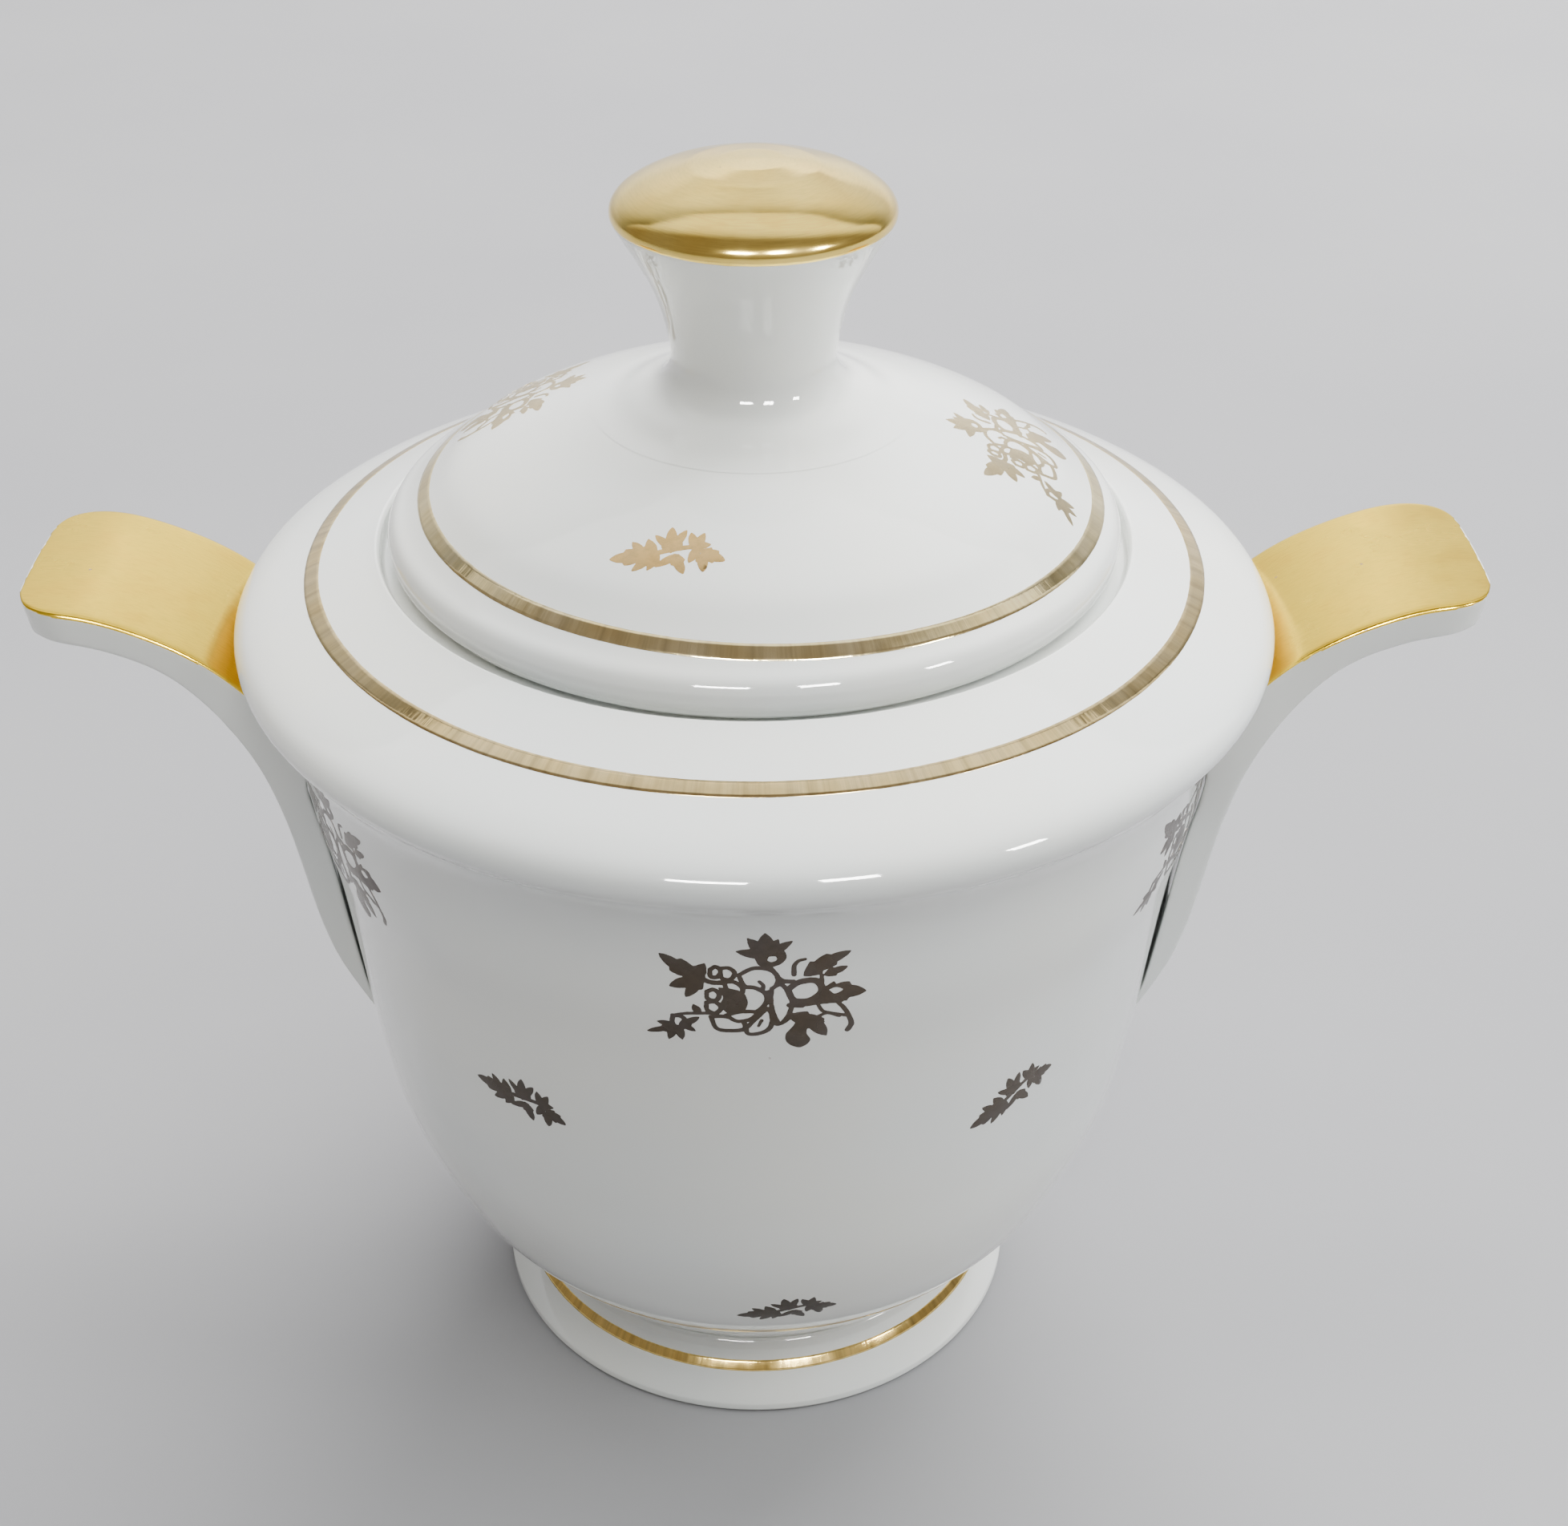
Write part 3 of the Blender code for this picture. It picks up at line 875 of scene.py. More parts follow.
def handle_gilding(name, glazed, finish):
    """Gold over the tongue's top face, from under the shoulder to the tip, just over its rounded edges."""
    side = HANDLES[name][0]
    mesh = glazed.data
    mesh.update()
    bm = bmesh.new()
    bm.from_mesh(mesh)
    bm.verts.ensure_lookup_table()
    bm.normal_update()
    keep = []
    for face in bm.faces:
        c = face.calc_center_median() / MM
        n = face.normal
        x = abs(c.x)
        edge = 0.14 + 0.05 * noise.noise(Vector((c.x * 0.9, c.y * 0.9, 3.0)))
        r = math.hypot(c.x, c.y)
        tip = HANDLES[name][1] - 0.35 - 0.55 * (c.y / 13.0) ** 2 + 0.12 * noise.noise(Vector((c.y * 0.7, 5.0, 1.0)))
        if n.z > edge and 55.0 < x < tip and r > height_at(SIDE, min(c.z, 103.0)) - 0.9:
            keep.append(face)
    keep = set(keep)
    # the largest connected part only
    best, seen = [], set()
    for face in keep:
        if face in seen:
            continue
        group, stack = [], [face]
        seen.add(face)
        while stack:
            f = stack.pop()
            group.append(f)
            for e in f.edges:
                for g in e.link_faces:
                    if g in keep and g not in seen:
                        seen.add(g)
                        stack.append(g)
        if len(group) > len(best):
            best = group
    best = set(best)
    out = bmesh.new()
    uv = out.loops.layers.uv.new("UVMap")
    verts = {v for f in best for v in f.verts}
    rim = {v for v in verts if any(f not in best for f in v.link_faces)}
    upper, lower = {}, {}
    for v in sorted(verts, key=lambda v: v.index):
        lift = 0.0 if v in rim else 0.045
        upper[v] = out.verts.new(v.co + v.normal * (lift - (0.02 if v in rim else 0.0)) * MM)
        lower[v] = out.verts.new(v.co - v.normal * 0.15 * MM)
    for f in sorted(best, key=lambda f: f.index):
        made = out.faces.new([upper[v] for v in f.verts])
        for corner, v in zip(made.loops, f.verts):
            corner[uv].uv = (abs(v.co.x) * 10, v.co.y * 10)
        out.faces.new([lower[v] for v in reversed(f.verts)])
        for e in f.edges:
            if any(g not in best for g in e.link_faces):
                a, b = e.verts
                out.faces.new((upper[a], upper[b], lower[b], lower[a]))
    bm.free()
    return finish_mesh(out, "gilt_" + name, [finish], 80.0)


# ------------------------------------------------------------------ flower sprays


class Ink:
    """A flat drawing in millimetres, kept as a distance field: below 0 is gold."""

    def __init__(self, width, height, step=0.09):
        self.u = np.arange(-width / 2, width / 2 + step, step)
        self.v = np.arange(-height / 2, height / 2 + step, step)
        self.uu, self.vv = np.meshgrid(self.u, self.v)
        self.field = np.full(self.uu.shape, 9.0)
        self.step = step

    def _line(self, points, widths):
        best = np.full(self.uu.shape, 9.0)
        for (ax, ay), (bx, by), wa, wb in zip(points, points[1:], widths, widths[1:]):
            dx, dy = bx - ax, by - ay
            t = np.clip(((self.uu - ax) * dx + (self.vv - ay) * dy) / (dx * dx + dy * dy + 1e-12), 0, 1)
            d = np.hypot(self.uu - ax - t * dx, self.vv - ay - t * dy) - (wa + (wb - wa) * t)
            best = np.minimum(best, d)
        return best

    def stroke(self, points, start=0.16, end=0.10, middle=None, closed=False):
        """A brush line through the points, with half-widths at its start, middle and end."""
        if closed:
            points = [*points, points[0]]
        line = spline([tuple(map(float, p)) for p in points], 6)
        n = len(line) - 1
        middle = (start + end) / 2 if middle is None else middle
        widths = [
            start * max(1 - 2 * i / n, 0) + end * max(2 * i / n - 1, 0) + middle * (1 - abs(2 * i / n - 1))
            for i in range(n + 1)
        ]
        self.field = np.minimum(self.field, self._line(line, widths))

    def _area(self, points):
        inside = np.zeros(self.uu.shape, bool)
        best = np.full(self.uu.shape, 9.0)
        for (ax, ay), (bx, by) in zip(points, [*points[1:], points[0]]):
            dx, dy = bx - ax, by - ay
            t = np.clip(((self.uu - ax) * dx + (self.vv - ay) * dy) / (dx * dx + dy * dy + 1e-12), 0, 1)
            best = np.minimum(best, np.hypot(self.uu - ax - t * dx, self.vv - ay - t * dy))
            crosses = (ay > self.vv) != (by > self.vv)
            with np.errstate(divide="ignore", invalid="ignore"):
                at = ax + (self.vv - ay) * dx / (dy if dy else 1e-12)
            inside ^= crosses & (self.uu < at)
        return np.where(inside, -best, best)

    def fill(self, points, smooth=True):
        if smooth:
            points = spline([*points, points[0]], 5)[:-1]
        self.field = np.minimum(self.field, self._area(points))

    def clear(self, points, smooth=True):
        if smooth:
            points = spline([*points, points[0]], 5)[:-1]
        self.field = np.maximum(self.field, -self._area(points))

    def scratch(self, points, half=0.07):
        line = spline([tuple(map(float, p)) for p in points], 5)
        self.field = np.maximum(self.field, -self._line(line, [half] * len(line)))

    def leaf(self, base, tip, wide, teeth=3, lean=0.0, vein=True, bite=0.30):
        """A toothed leaf from its base to its tip."""
        bx, by = base
        dx, dy = tip[0] - bx, tip[1] - by
        size = math.hypot(dx, dy)
        ux, uy = dx / size, dy / size
        left, right = [], []
        count = max(teeth, 1) * 6
        for i in range(count + 1):
            t = i / count
            shape = math.sin(math.pi * t**0.75) ** 0.85 if 0 < t < 1 else 0.0
            saw = (t * teeth) % 1.0 if teeth else 0.0
            w = 1.3 * wide / 2 * shape * (1 - bite + bite * 1.35 * saw if teeth else 1.0)
            bend = lean * math.sin(math.pi * t)
            cx, cy = bx + ux * size * t - uy * bend, by + uy * size * t + ux * bend
            left.append((cx - uy * w, cy + ux * w))
            right.append((cx + uy * w, cy - ux * w))
        self.field = np.minimum(self.field, self._area(left + right[::-1]))
        if vein:
            a = (bx + dx * 0.22 - uy * lean * 0.6, by + dy * 0.22 + ux * lean * 0.6)
            m = (bx + dx * 0.5 - uy * lean, by + dy * 0.5 + ux * lean)
            b = (bx + dx * 0.74 - uy * lean * 0.7, by + dy * 0.74 + ux * lean * 0.7)
            self.scratch([a, m, b], 0.055)

    def outlined(self, points, half=0.13):
        """A petal: its outline only."""
        self.clear(points)
        self.stroke(points, half * 1.25, half * 1.25, half * 1.5, closed=True)

    def mesh(self):
        """(points, triangles) of the gold area, with points at most about 0.9 mm apart inside it."""
        f = self.field - 0.10
        ink = np.array([[noise.noise(Vector((u * 1.9, v * 1.9, 4.0))) for u in self.u[::3]] for v in self.v[::3]])
        rough = np.kron(ink, np.ones((3, 3)))[: f.shape[0], : f.shape[1]]
        f = f + 0.035 * rough
        f[0, :] = f[-1, :] = f[:, 0] = f[:, -1] = 9.0
        f[np.abs(f) < 1e-5] = 1e-5
        rows, cols = f.shape
        index, points, edges = {}, [], []

        def cut(a, b):
            key = (a, b) if a < b else (b, a)
            if key not in index:
                (ra, ca), (rb, cb) = key
                fa, fb = f[ra, ca], f[rb, cb]
                t = fa / (fa - fb)
                t = min(max(t, 0.04), 0.96)
                index[key] = len(points)
                points.append(
                    (
                        self.u[ca] + (self.u[cb] - self.u[ca]) * t,
                        self.v[ra] + (self.v[rb] - self.v[ra]) * t,
                    )
                )
            return index[key]

        low = f < 0
        mixed_cells = (low[:-1, :-1].astype(int) + low[1:, :-1] + low[:-1, 1:] + low[1:, 1:])
        for r, c in zip(*np.nonzero((mixed_cells > 0) & (mixed_cells < 4))):
            corners = [(r, c), (r, c + 1), (r + 1, c + 1), (r + 1, c)]
            signs = [bool(low[p]) for p in corners]
            cuts = [cut(corners[k], corners[(k + 1) % 4]) if signs[k] != signs[(k + 1) % 4] else None for k in range(4)]
            found = [k for k in cuts if k is not None]
            if len(found) == 2:
                edges.append(tuple(found))
            else:  # a saddle: join the cuts round each low corner
                for k in range(4):
                    if signs[k]:
                        edges.append((cuts[k - 1], cuts[k]))
        step = max(int(round(0.85 / self.step)), 1)
        for r in range(0, rows, step):
            for c in range(0, cols, step):
                if f[r, c] < -0.12:
                    points.append((self.u[c], self.v[r]))
        made = delaunay_2d_cdt([Vector(p) for p in points], edges, [], 0, 1e-5)
        flat = np.array([tuple(p) for p in made[0]], float)
        triangles = []
        for tri in made[2]:
            x, y = flat[list(tri)].mean(axis=0)
            ci, ri = (x - self.u[0]) / self.step, (y - self.v[0]) / self.step
            c0, r0 = int(ci), int(ri)
            if not (0 <= c0 < cols - 1 and 0 <= r0 < rows - 1):
                continue
            a, b = ci - c0, ri - r0
            value = (
                f[r0, c0] * (1 - a) * (1 - b)
                + f[r0, c0 + 1] * a * (1 - b)
                + f[r0 + 1, c0] * (1 - a) * b
                + f[r0 + 1, c0 + 1] * a * b
            )
            if value < 0:
                triangles.append(tuple(tri))
        return flat, triangles


def bouquet():
    """A rose with buds and leaves, about 23 mm wide and 15 mm tall."""
    ink = Ink(25.5, 20.0)

    def at(x, y):
        return ((x - 7.75) * 1.64, -(y - 4.5) * 2.3)

    def pts(*pairs):
        return [at(x, y) for x, y in pairs]

    # bud and pointed bracts at the top
    for tip, wide in (((6.75, 1.9), 1.0), ((7.45, 1.0), 1.1), ((8.5, 0.62), 1.3), ((9.3, 1.1), 1.0), ((10.15, 1.25), 0.9)):
        ink.leaf(at(8.6, 2.15), at(*tip), wide, 1, vein=False, bite=0.1)
    ink.fill(pts((8.0, 1.8), (9.4, 1.7), (9.8, 2.3), (9.3, 2.8), (8.3, 2.85), (7.95, 2.4)))
    ink.clear(pts((8.7, 2.2), (9.2, 2.2), (9.3, 2.5), (8.9, 2.65), (8.6, 2.5)))
    ink.stroke(pts((8.6, 2.8), (9.0, 3.2), (9.3, 3.7)), 0.26, 0.2)
    # leaves on the left
    ink.leaf(at(4.7, 3.7), at(1.9, 2.35), 1.9, 3, 0.3)
    ink.leaf(at(4.5, 3.7), at(2.45, 4.35), 1.5, 2)
    ink.leaf(at(4.5, 3.7), at(3.45, 4.95), 1.2, 2, vein=False)
    ink.leaf(at(3.9, 3.9), at(4.7, 2.8), 1.3, 1, vein=False)
    # small blossoms beside them
    ink.outlined(pts((5.05, 3.15), (5.4, 2.95), (5.75, 3.2), (5.5, 3.6), (5.1, 3.6)), 0.13)
    ink.outlined(pts((5.7, 3.05), (6.2, 3.0), (6.6, 3.3), (6.3, 3.75), (5.8, 3.65)), 0.12)
    ink.stroke(pts((4.6, 3.8), (5.1, 3.95), (5.8, 3.95)), 0.22, 0.24)
    # the rose
    ink.outlined(pts((6.85, 3.45), (7.8, 3.0), (8.9, 3.15), (9.35, 3.7), (8.9, 4.45), (8.0, 4.55), (7.2, 4.1)), 0.13)
    ink.stroke(pts((8.15, 3.85), (8.4, 4.1), (8.35, 4.45)), 0.10, 0.16)
    ink.outlined(pts((6.9, 4.2), (7.9, 4.25), (8.6, 4.7), (8.5, 5.35), (7.8, 5.85), (7.1, 5.8), (6.8, 5.0)), 0.14)
    ink.outlined(pts((5.9, 3.9), (6.6, 3.9), (7.1, 4.3), (6.9, 4.7), (6.2, 4.5)), 0.13)
    ink.fill(pts((5.6, 4.3), (6.3, 4.35), (7.1, 4.6), (7.35, 5.3), (6.9, 5.9), (6.2, 5.9), (5.7, 5.4), (5.9, 4.9)))
    ink.scratch(pts((6.1, 4.9), (6.6, 4.8), (6.9, 5.15), (6.6, 5.5)), 0.09)
    ink.scratch(pts((6.2, 5.3), (6.45, 5.15)), 0.07)
    ink.outlined(pts((4.8, 4.55), (5.25, 4.4), (5.6, 4.7), (5.35, 5.1), (4.85, 5.0)), 0.13)
    ink.outlined(pts((4.75, 5.25), (5.3, 5.2), (5.7, 5.55), (5.3, 5.95), (4.8, 5.75)), 0.13)
    ink.outlined(pts((5.0, 6.2), (5.9, 6.15), (7.1, 6.5), (7.2, 7.0), (6.3, 7.15), (5.4, 7.05)), 0.14)
    ink.outlined(pts((6.0, 6.05), (7.0, 5.8), (8.0, 5.85), (7.6, 6.3), (6.7, 6.45)), 0.13)
    ink.outlined(pts((7.3, 6.95), (8.0, 6.2), (8.7, 5.6), (9.0, 6.2), (8.8, 7.0), (8.1, 7.35), (7.4, 7.35)), 0.14)
    ink.stroke(pts((8.3, 6.4), (8.1, 6.8)), 0.12, 0.07)
    # the open petal beside it
    ink.outlined(pts((8.95, 4.3), (9.5, 4.05), (10.1, 4.7), (10.25, 5.4), (9.9, 6.3), (9.5, 6.65), (9.1, 6.0), (8.9, 5.1)), 0.13)
    # leaves on the right
    ink.stroke(pts((10.35, 3.45), (10.35, 2.9), (10.6, 2.6), (11.0, 2.5)), 0.20, 0.10)
    ink.stroke(pts((9.3, 3.6), (9.7, 3.85), (10.3, 3.9)), 0.2, 0.2)
    ink.leaf(at(11.0, 3.55), at(13.85, 2.2), 1.7, 3, 0.25)
    ink.leaf(at(12.3, 3.6), at(13.7, 3.2), 0.9, 2, vein=False)
    ink.outlined(pts((9.95, 4.4), (10.7, 3.95), (11.8, 3.95), (12.15, 4.6), (11.4, 5.15), (10.4, 5.1)), 0.22)
    ink.leaf(at(10.1, 5.45), at(12.9, 5.05), 0.9, 3, vein=False)
    ink.stroke(pts((12.1, 5.0), (12.15, 4.2), (12.1, 3.6)), 0.2, 0.12)
    ink.leaf(at(12.0, 4.75), at(15.0, 4.9), 2.3, 3, 0.15, vein=False)
    ink.clear(pts((12.5, 4.55), (13.1, 4.4), (13.6, 4.65), (13.0, 4.9)))
    ink.stroke(pts((10.1, 5.4), (11.5, 5.3), (13.4, 5.3)), 0.24, 0.3)
    # stems and a tendril
    ink.stroke(pts((13.1, 5.3), (13.7, 5.9), (14.1, 6.6), (14.25, 7.05), (14.05, 7.45)), 0.14, 0.26)
    ink.stroke(pts((11.9, 5.4), (12.3, 5.95), (12.9, 6.15), (13.9, 6.4)), 0.11, 0.15)
    ink.stroke(pts((8.95, 6.2), (9.3, 6.7), (9.8, 6.5), (10.3, 6.05)), 0.13, 0.2)
    # the large leaf below on the right
    ink.leaf(at(10.1, 6.1), at(12.4, 6.7), 1.5, 2, vein=False)
    ink.leaf(at(11.2, 6.1), at(12.6, 7.7), 1.7, 2, vein=False)
    ink.fill(pts((10.7, 6.4), (11.4, 6.5), (11.2, 7.4), (11.5, 8.0), (10.9, 8.45), (10.1, 8.1), (9.95, 7.5), (10.4, 6.9)))
    ink.stroke(pts((11.9, 6.3), (12.6, 6.1), (13.4, 6.4)), 0.14, 0.1)
    # a bud on its stem below on the left
    ink.stroke(pts((5.2, 5.95), (4.3, 6.0), (3.3, 6.1), (2.5, 6.3)), 0.13, 0.13)
    ink.leaf(at(4.25, 6.0), at(3.9, 5.45), 0.6, 0, vein=False)
    ink.outlined(pts((2.5, 6.3), (3.1, 6.35), (3.35, 6.8), (2.9, 7.2), (2.45, 6.9)), 0.15)
    ink.leaf(at(2.9, 7.0), at(4.2, 6.3), 0.85, 2, vein=False)
    ink.leaf(at(2.7, 7.1), at(0.7, 7.65), 0.75, 2, vein=False)
    ink.leaf(at(2.6, 7.0), at(1.45, 6.85), 0.65, 1, vein=False)
    ink.leaf(at(2.6, 7.0), at(2.1, 8.05), 0.75, 1, vein=False)
    ink.leaf(at(2.8, 7.0), at(3.0, 8.0), 0.75, 1, vein=False)
    ink.leaf(at(3.1, 6.9), at(3.9, 7.3), 0.6, 1, vein=False)
    return ink.mesh()


def sprig():
    """A short leafy twig, about 12.5 mm long and 4.5 mm across."""
    ink = Ink(14.4, 9.0)

    def at(x, y):
        return (x - 7.75, -(y - 3.3) * 1.95)

    def pts(*pairs):
        return [at(x, y) for x, y in pairs]

    ink.stroke(pts((3.0, 4.1), (5.6, 3.8), (8.2, 3.3), (10.6, 3.0), (13.0, 3.6)), 0.24, 0.14, 0.22)
    ink.leaf(at(5.9, 3.8), at(1.75, 4.15), 1.7, 3, vein=False)
    ink.leaf(at(5.6, 3.9), at(3.7, 3.0), 0.95, 2, vein=False)
    ink.leaf(at(6.4, 3.9), at(5.3, 2.75), 1.0, 1, vein=False)
    ink.leaf(at(6.6, 3.7), at(4.5, 4.85), 1.0, 2, vein=False)
    ink.leaf(at(6.9, 3.7), at(6.1, 4.75), 0.75, 1, vein=False)
    ink.leaf(at(8.4, 3.4), at(6.0, 2.45), 0.85, 2, vein=False)
    ink.leaf(at(8.1, 3.5), at(7.5, 1.8), 1.2, 2, vein=False)
    ink.leaf(at(8.0, 3.4), at(9.1, 1.9), 0.95, 2, vein=False)
    ink.leaf(at(9.0, 3.6), at(6.9, 4.5), 0.7, 1, vein=False)
    ink.leaf(at(8.5, 3.6), at(10.0, 4.75), 1.05, 2, vein=False)
    ink.leaf(at(10.6, 3.1), at(9.7, 2.05), 0.8, 1, vein=False)
    ink.leaf(at(10.5, 3.2), at(11.1, 1.95), 0.8, 1, vein=False)
    ink.leaf(at(10.5, 2.9), at(12.0, 2.65), 0.65, 1, vein=False)
    ink.leaf(at(10.9, 2.9), at(10.3, 4.0), 0.8, 1, vein=False)
    ink.leaf(at(11.3, 3.2), at(13.9, 3.55), 1.35, 3, vein=False)
    ink.leaf(at(11.5, 3.3), at(12.0, 4.45), 1.05, 2, vein=False)
    return ink.mesh()


def film_from(name, flat, triangles, place, finish, film=0.035):
    """A closed film of gold: place(u, v) gives a point and normal on the glaze, in millimetres."""
    bm = bmesh.new()
    uv = bm.loops.layers.uv.new("UVMap")
    used = sorted({i for t in triangles for i in t})
    edge_count = {}
    for t in triangles:
        for a, b in ((t[0], t[1]), (t[1], t[2]), (t[2], t[0])):
            edge_count[(a, b)] = edge_count.get((a, b), 0) + 1
    border = [(a, b) for a, b in edge_count if (b, a) not in edge_count]
    rim = {i for e in border for i in e}
    upper, lower = {}, {}
    for i in used:
        p, n = place(*flat[i])
        lift = film * 0.45 if i in rim else film
        upper[i] = bm.verts.new(tuple((p + n * lift) * MM))
        lower[i] = bm.verts.new(tuple((p - n * 0.09) * MM))
    for t in triangles:
        face = bm.faces.new([upper[i] for i in t])
        for corner, i in zip(face.loops, t):
            corner[uv].uv = (flat[i][0] * 0.01 + 0.5, flat[i][1] * 0.01 + 0.5)
        bm.faces.new([lower[i] for i in reversed(t)])
    for a, b in border:
        bm.faces.new((upper[b], upper[a], lower[a], lower[b]))
    return finish_mesh(bm, name, [finish], 55.0)


BOWL_LENGTHS = lengths_of(BOWL_CURVE)
LID_UP = list(reversed(LID_CURVE))


def on_bowl(theta, z, turn):
    """Places a drawing on the bowl's side, centred at that angle and height and turned anticlockwise, in degrees."""
    middle = length_at_height(BOWL_CURVE[:-8], z)
    r0 = side_point(BOWL_CURVE, middle, BOWL_LENGTHS)[0][0]
    c, s = math.cos(math.radians(turn)), math.sin(math.radians(turn))

    def place(u, v):
        along, up = u * c - v * s, u * s + v * c
        p, n = side_point(BOWL_CURVE, middle + up, BOWL_LENGTHS)
        t = math.radians(theta) + along / r0
        return (
            np.array([p[0] * math.cos(t), p[0] * math.sin(t), p[1]]),
            np.array([n[0] * math.cos(t), n[0] * math.sin(t), n[1]]),
        )

    return place


def on_lid(theta, radius, turn, scale=1.0):
    """Places a drawing on the lid, with its top towards the knob before it is turned."""
    rs = np.array([p[0] for p in LID_UP])
    zs = np.array([p[1] for p in LID_UP])
    t = math.radians(theta)
    out = np.array([math.cos(t), math.sin(t)])
    right = np.array([-out[1], out[0]])
    c, s = math.cos(math.radians(turn)), math.sin(math.radians(turn))
    tilt = abs(np.interp(radius + 1, rs, zs) - np.interp(radius - 1, rs, zs)) / 2
    flat_share = 1 / math.hypot(1, tilt)

    def place(u, v):
        along, up = (u * c - v * s) * scale, (u * s + v * c) * scale
        x, y = out * (radius - up * flat_share) + right * along
        r = math.hypot(x, y)
        z = float(np.interp(r, rs, zs))
        slope = float(np.interp(r + 0.4, rs, zs) - np.interp(r - 0.4, rs, zs)) / 0.8
        n = np.array([-slope * x / r, -slope * y / r, 1.0])
        return np.array([x, y, z]), n / np.linalg.norm(n)

    return place


# ------------------------------------------------------------------ build

bowl = bowl_piece()
foot = foot_piece()
shell, collar, knob = lid_pieces()
ride_on_bowl, ride_on_lid = [bowl, foot], [shell, collar, knob]

for name in HANDLES:
    glazed = handle_piece(name, GLAZE_HANDLE)
    gilt = handle_gilding(name, glazed, GOLD_HANDLE)
    ride_on_bowl += [glazed, gilt]

gilding_bowl = [
    # the shoulder band wears the darkened gold, a painted reflection of a dark room
    band("gilt_band_shoulder", BOWL_CURVE, 110.4, 2.05, [GOLD_BAND_WITH_PAINTED_REFLECTION], 11.0),
]
FOOT_SKIRT = [(35.2, 1.5), (34.9, 2.05), (34.2, 3.2), (33.6, 4.05), (32.9, 5.0), (32.4, 5.65), (31.9, 6.3), (31.5, 6.8)]
gilding_bowl.append(band("gilt_band_foot", [tuple(p) for p in resampled(FOOT_SKIRT, 0.3)], 5.75, 1.5, [GOLD_BAND_FOOT], 23.0, count=640))
gilding_lid = [
    band("gilt_band_lid", LID_CURVE, 118.75, 2.0, [GOLD_BAND], 17.0, shift=0.8),
    knob_gilding(),
]

BOUQUET, SPRIG = bouquet(), sprig()
# the bowl's sprays wear the near-black gold, a painted reflection of a dark room
for i, theta in enumerate((-90.0, -25.0, 31.0, 91.0, 151.0, -151.0)):
    place = on_bowl(theta, 87.3, 0.0)
    gilding_bowl.append(film_from(f"gilt_bouquet_bowl_{i + 1}", *BOUQUET, place, GOLD_FLOWER_PAINTED_REFLECTION))
for i, (theta, z, turn) in enumerate(
    (
        (-121.0, 63.3, -16.0),
        (-55.0, 61.9, 14.0),
        (0.0, 62.5, 0.0),
        (59.0, 63.3, -16.0),
        (125.0, 61.9, 14.0),
        (-85.2, 29.9, 2.0),
        (35.0, 30.0, -3.0),
        (155.0, 30.0, 3.0),
    )
):
    if theta == 0.0:
        continue
    gilding_bowl.append(film_from(f"gilt_sprig_bowl_{i + 1}", *SPRIG, on_bowl(theta, z, turn), GOLD_FLOWER_PAINTED_REFLECTION))
for i, (theta, radius, turn) in enumerate(((-5.5, 29.4, 9.0), (155.0, 29.4, 9.0))):
    gilding_lid.append(film_from(f"gilt_bouquet_lid_{i + 1}", *BOUQUET, on_lid(theta, radius, turn, 0.9), GOLD_FLOWER_LID))
for i, (theta, radius, turn) in enumerate(((-107.5, 29.6, 4.0), (85.0, 29.8, 0.0))):
    gilding_lid.append(film_from(f"gilt_sprig_lid_{i + 1}", *SPRIG, on_lid(theta, radius, turn), GOLD_SPRIG_LID_PAINTED_REFLECTION))

for made in ride_on_bowl + gilding_bowl:
    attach(made, "bowl")
for made in ride_on_lid + gilding_lid:
    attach(made, "lid")


# ------------------------------------------------------------------ stage, light, camera


FLOOR_Z = -0.0001  # just clear of the foot, so that the two faces never share a plane


def sweep():
    """A pale floor that curves up into a plain wall behind."""
    bm = bmesh.new()
    line = [(-2.2, FLOOR_Z), (0.75, FLOOR_Z)]
    for k in range(1, 13):
        a = math.radians(90 * k / 12)
        line.append((0.75 + 0.5 * math.sin(a), FLOOR_Z + 0.5 * (1 - math.cos(a))))
    line.append((1.25, 2.4))
    rows = [[bm.verts.new((x, y, z)) for x in (-2.4, 2.4)] for y, z in line]
    for a, b in zip(rows, rows[1:]):
        bm.faces.new((a[0], a[1], b[1], b[0]))
    mesh = bpy.data.meshes.new("floor")
    bmesh.ops.recalc_face_normals(bm, faces=bm.faces)
    bm.to_mesh(mesh)
    bm.free()
    mesh.shade_smooth()
    made, tree, shader = nodes_of("pale_floor")
    place = tree.nodes.new("ShaderNodeTexCoord").outputs["Object"]
    grain = add(tree, "ShaderNodeTexNoise", Scale=6.0, Detail=4.0)
    tree.links.new(place, grain.inputs["Vector"])
    ground = ramp(tree, grain.outputs["Fac"], [(0.35, (0.246, 0.246, 0.258, 1.0)), (0.65, (0.264, 0.264, 0.272, 1.0))])
    height = tree.nodes.new("ShaderNodeSeparateXYZ")
    tree.links.new(place, height.inputs["Vector"])
    climb = tree.nodes.new("ShaderNodeMapRange")
    climb.interpolation_type = "SMOOTHSTEP"
    climb.inputs["From Min"].default_value = 0.02
    climb.inputs["From Max"].default_value = 0.45
    tree.links.new(height.outputs["Z"], climb.inputs["Value"])
    colour = mixed(tree, climb.outputs["Result"], ground, (0.60, 0.60, 0.615, 1.0))
    tree.links.new(colour, shader.inputs["Base Color"])
    fixed(shader, Roughness=0.75)
    return link("floor", mesh, [made])


sweep()


def light(name, at, towards, size, power, colour=(1.0, 1.0, 1.0), spread=180.0):
    data = bpy.data.lights.new(name, "AREA")
    data.shape = "RECTANGLE"
    data.size, data.size_y = size
    data.energy = power
    data.color = colour
    data.spread = math.radians(spread)
    made = bpy.data.objects.new(name, data)
    bpy.context.scene.collection.objects.link(made)
    made.location = at
    made.rotation_euler = (Vector(towards) - Vector(at)).to_track_quat("-Z", "Y").to_euler()
    return made


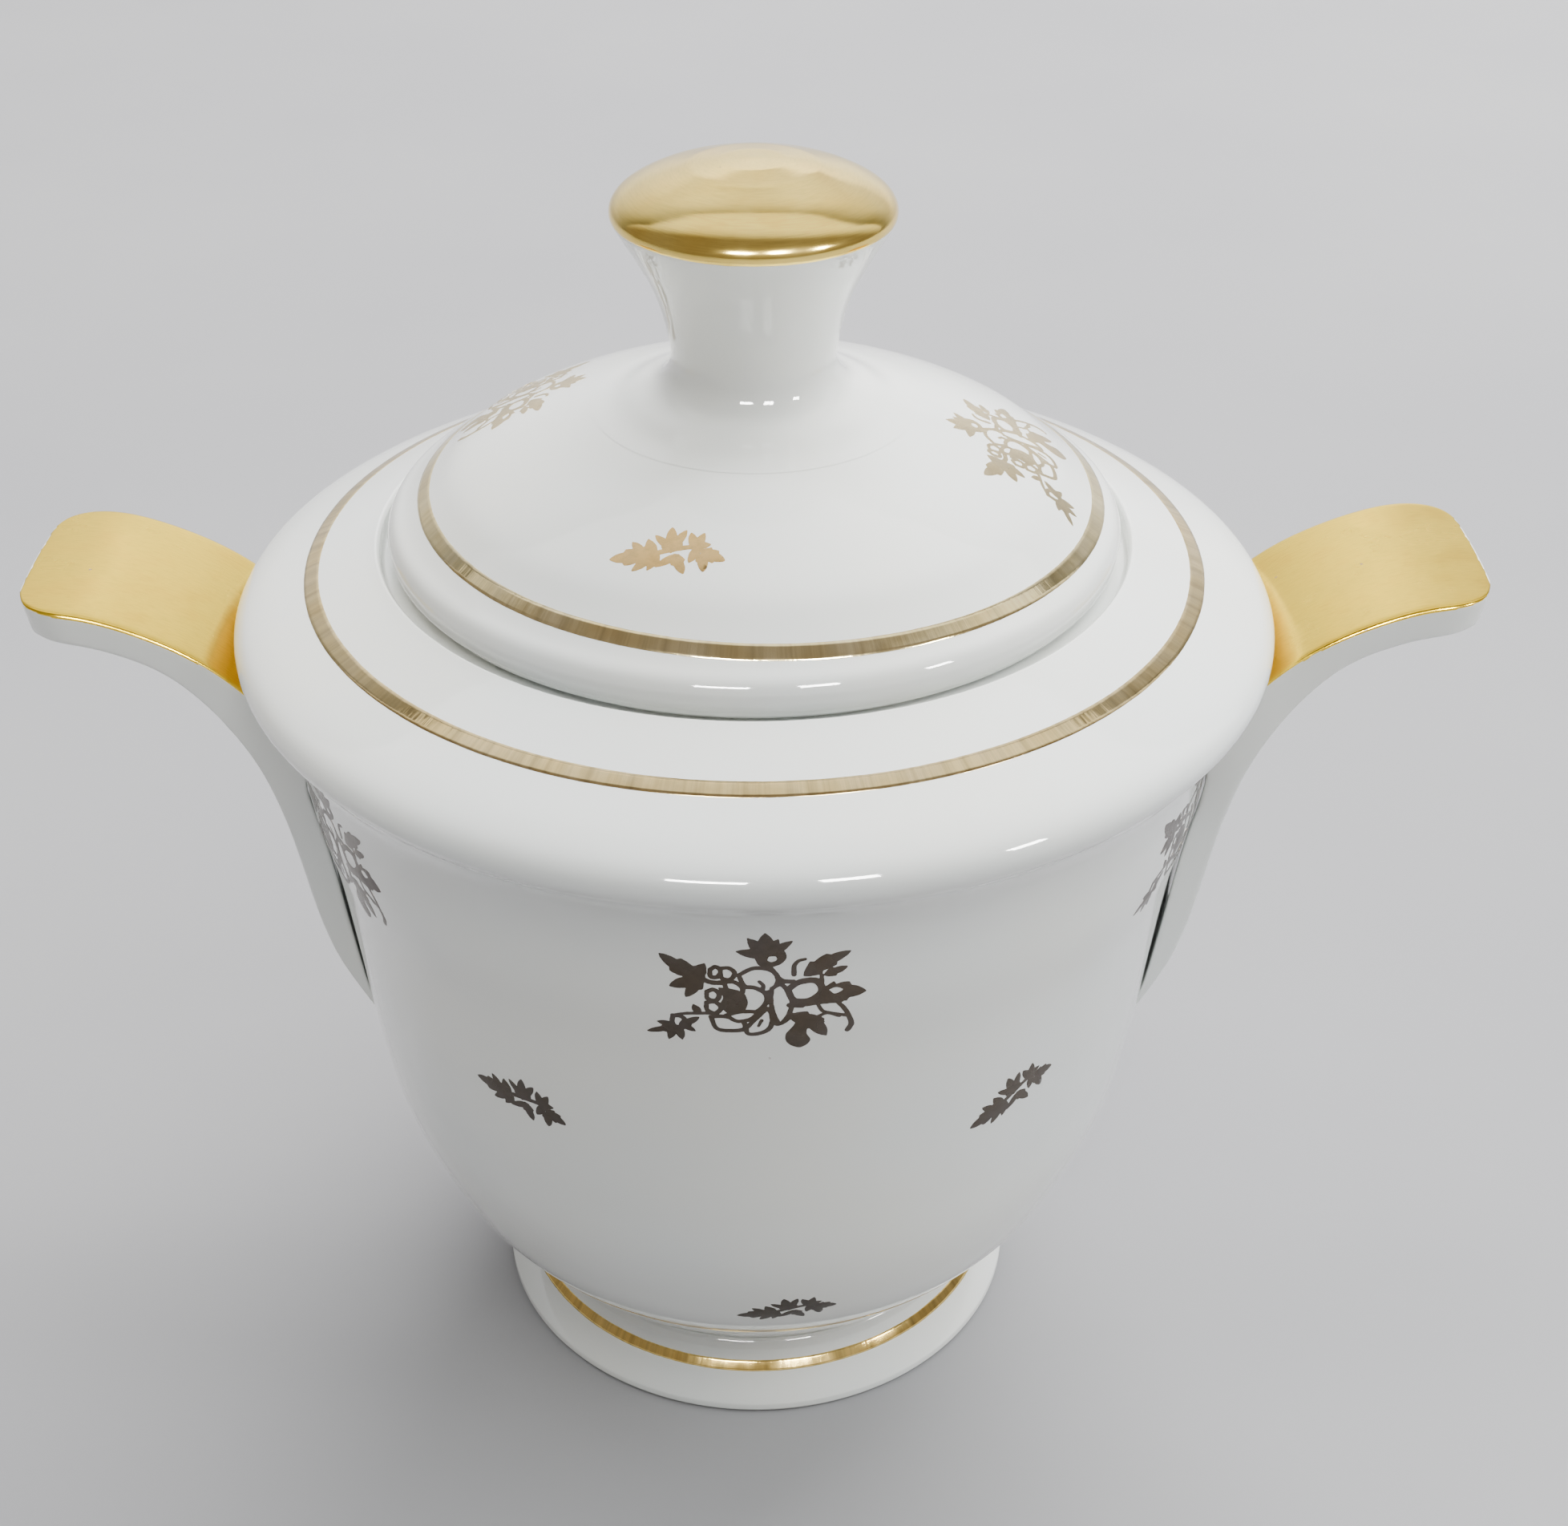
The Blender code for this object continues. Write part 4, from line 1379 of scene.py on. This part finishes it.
def window(name, azimuth, elevation, distance, size, power):
    a, e = math.radians(azimuth), math.radians(elevation)
    at = (
        distance * math.sin(a) * math.cos(e),
        -distance * math.cos(a) * math.cos(e),
        0.11 + distance * math.sin(e),
    )
    return light(name, at, (0.0, 0.0, 0.11), size, power, (1.0, 0.99, 0.97))


# The large lights only light: what the glaze and gold mirror is the wall, the pale back half of the room and the windows.
for big in (
    light("back_top", (0.45, 0.85, 1.05), (0.0, 0.0, 0.08), (1.4, 0.8), 54.0, (1.0, 0.995, 0.98)),
    light("right_top", (1.25, -0.1, 0.95), (0.0, 0.0, 0.1), (0.9, 0.7), 18.5, (0.95, 0.98, 1.0)),
    light("front_top", (0.12, -0.72, 1.18), (0.0, 0.0, 0.12), (0.7, 0.45), 11.2, (0.98, 1.0, 0.985)),
    light("left_top", (-1.25, 0.35, 0.95), (0.0, 0.0, 0.1), (0.9, 0.7), 4.5, (1.0, 0.96, 0.90)),
    light("wall", (0.0, 0.25, 1.7), (0.0, 1.25, 0.9), (1.8, 0.4), 43.0, (0.99, 0.985, 0.985)),
):
    big.visible_glossy = False
for pane in (
    window("window_1", -10.0, 32.5, 2.0, (0.50, 0.20), 42.0),
    window("window_2", 20.0, 32.5, 2.0, (0.36, 0.27), 40.0),
    window("window_3", 57.0, 25.0, 2.0, (0.26, 0.22), 22.0),
):
    pane.visible_diffuse = False

world = bpy.data.worlds.new("room")
bpy.context.scene.world = world
world.use_nodes = True
sky = world.node_tree
looking = sky.nodes.new("ShaderNodeTexCoord").outputs["Generated"]
towards = sky.nodes.new("ShaderNodeVectorMath")
towards.operation = "DOT_PRODUCT"
towards.inputs[1].default_value = (0.10, 0.88, 0.46)
sky.links.new(looking, towards.inputs[0])
pale_side = sky.nodes.new("ShaderNodeMapRange")
pale_side.interpolation_type = "SMOOTHSTEP"
pale_side.inputs["From Min"].default_value = 0.31
pale_side.inputs["From Max"].default_value = 0.69
sky.links.new(towards.outputs["Value"], pale_side.inputs["Value"])
dim = mixed(sky, sky.nodes.new("ShaderNodeLightPath").outputs["Is Diffuse Ray"], (0.285, 0.255, 0.236, 1.0), (0.082, 0.074, 0.067, 1.0))
room = mixed(sky, pale_side.outputs["Result"], dim, (1.68, 1.66, 1.61, 1.0))
sky.links.new(room, sky.nodes["Background"].inputs["Color"])

lens = bpy.data.cameras.new("camera")
lens.sensor_fit = "HORIZONTAL"
lens.sensor_width = 36.0
lens.lens = 52.99
lens.shift_x = 0.0116
lens.clip_start, lens.clip_end = 0.01, 20.0
camera = bpy.data.objects.new("camera", lens)
bpy.context.scene.collection.objects.link(camera)
camera.location = (0.00134, -0.2438, 0.2388)
camera.rotation_euler = (math.radians(56.86), 0.0, 0.0)
bpy.context.scene.camera = camera
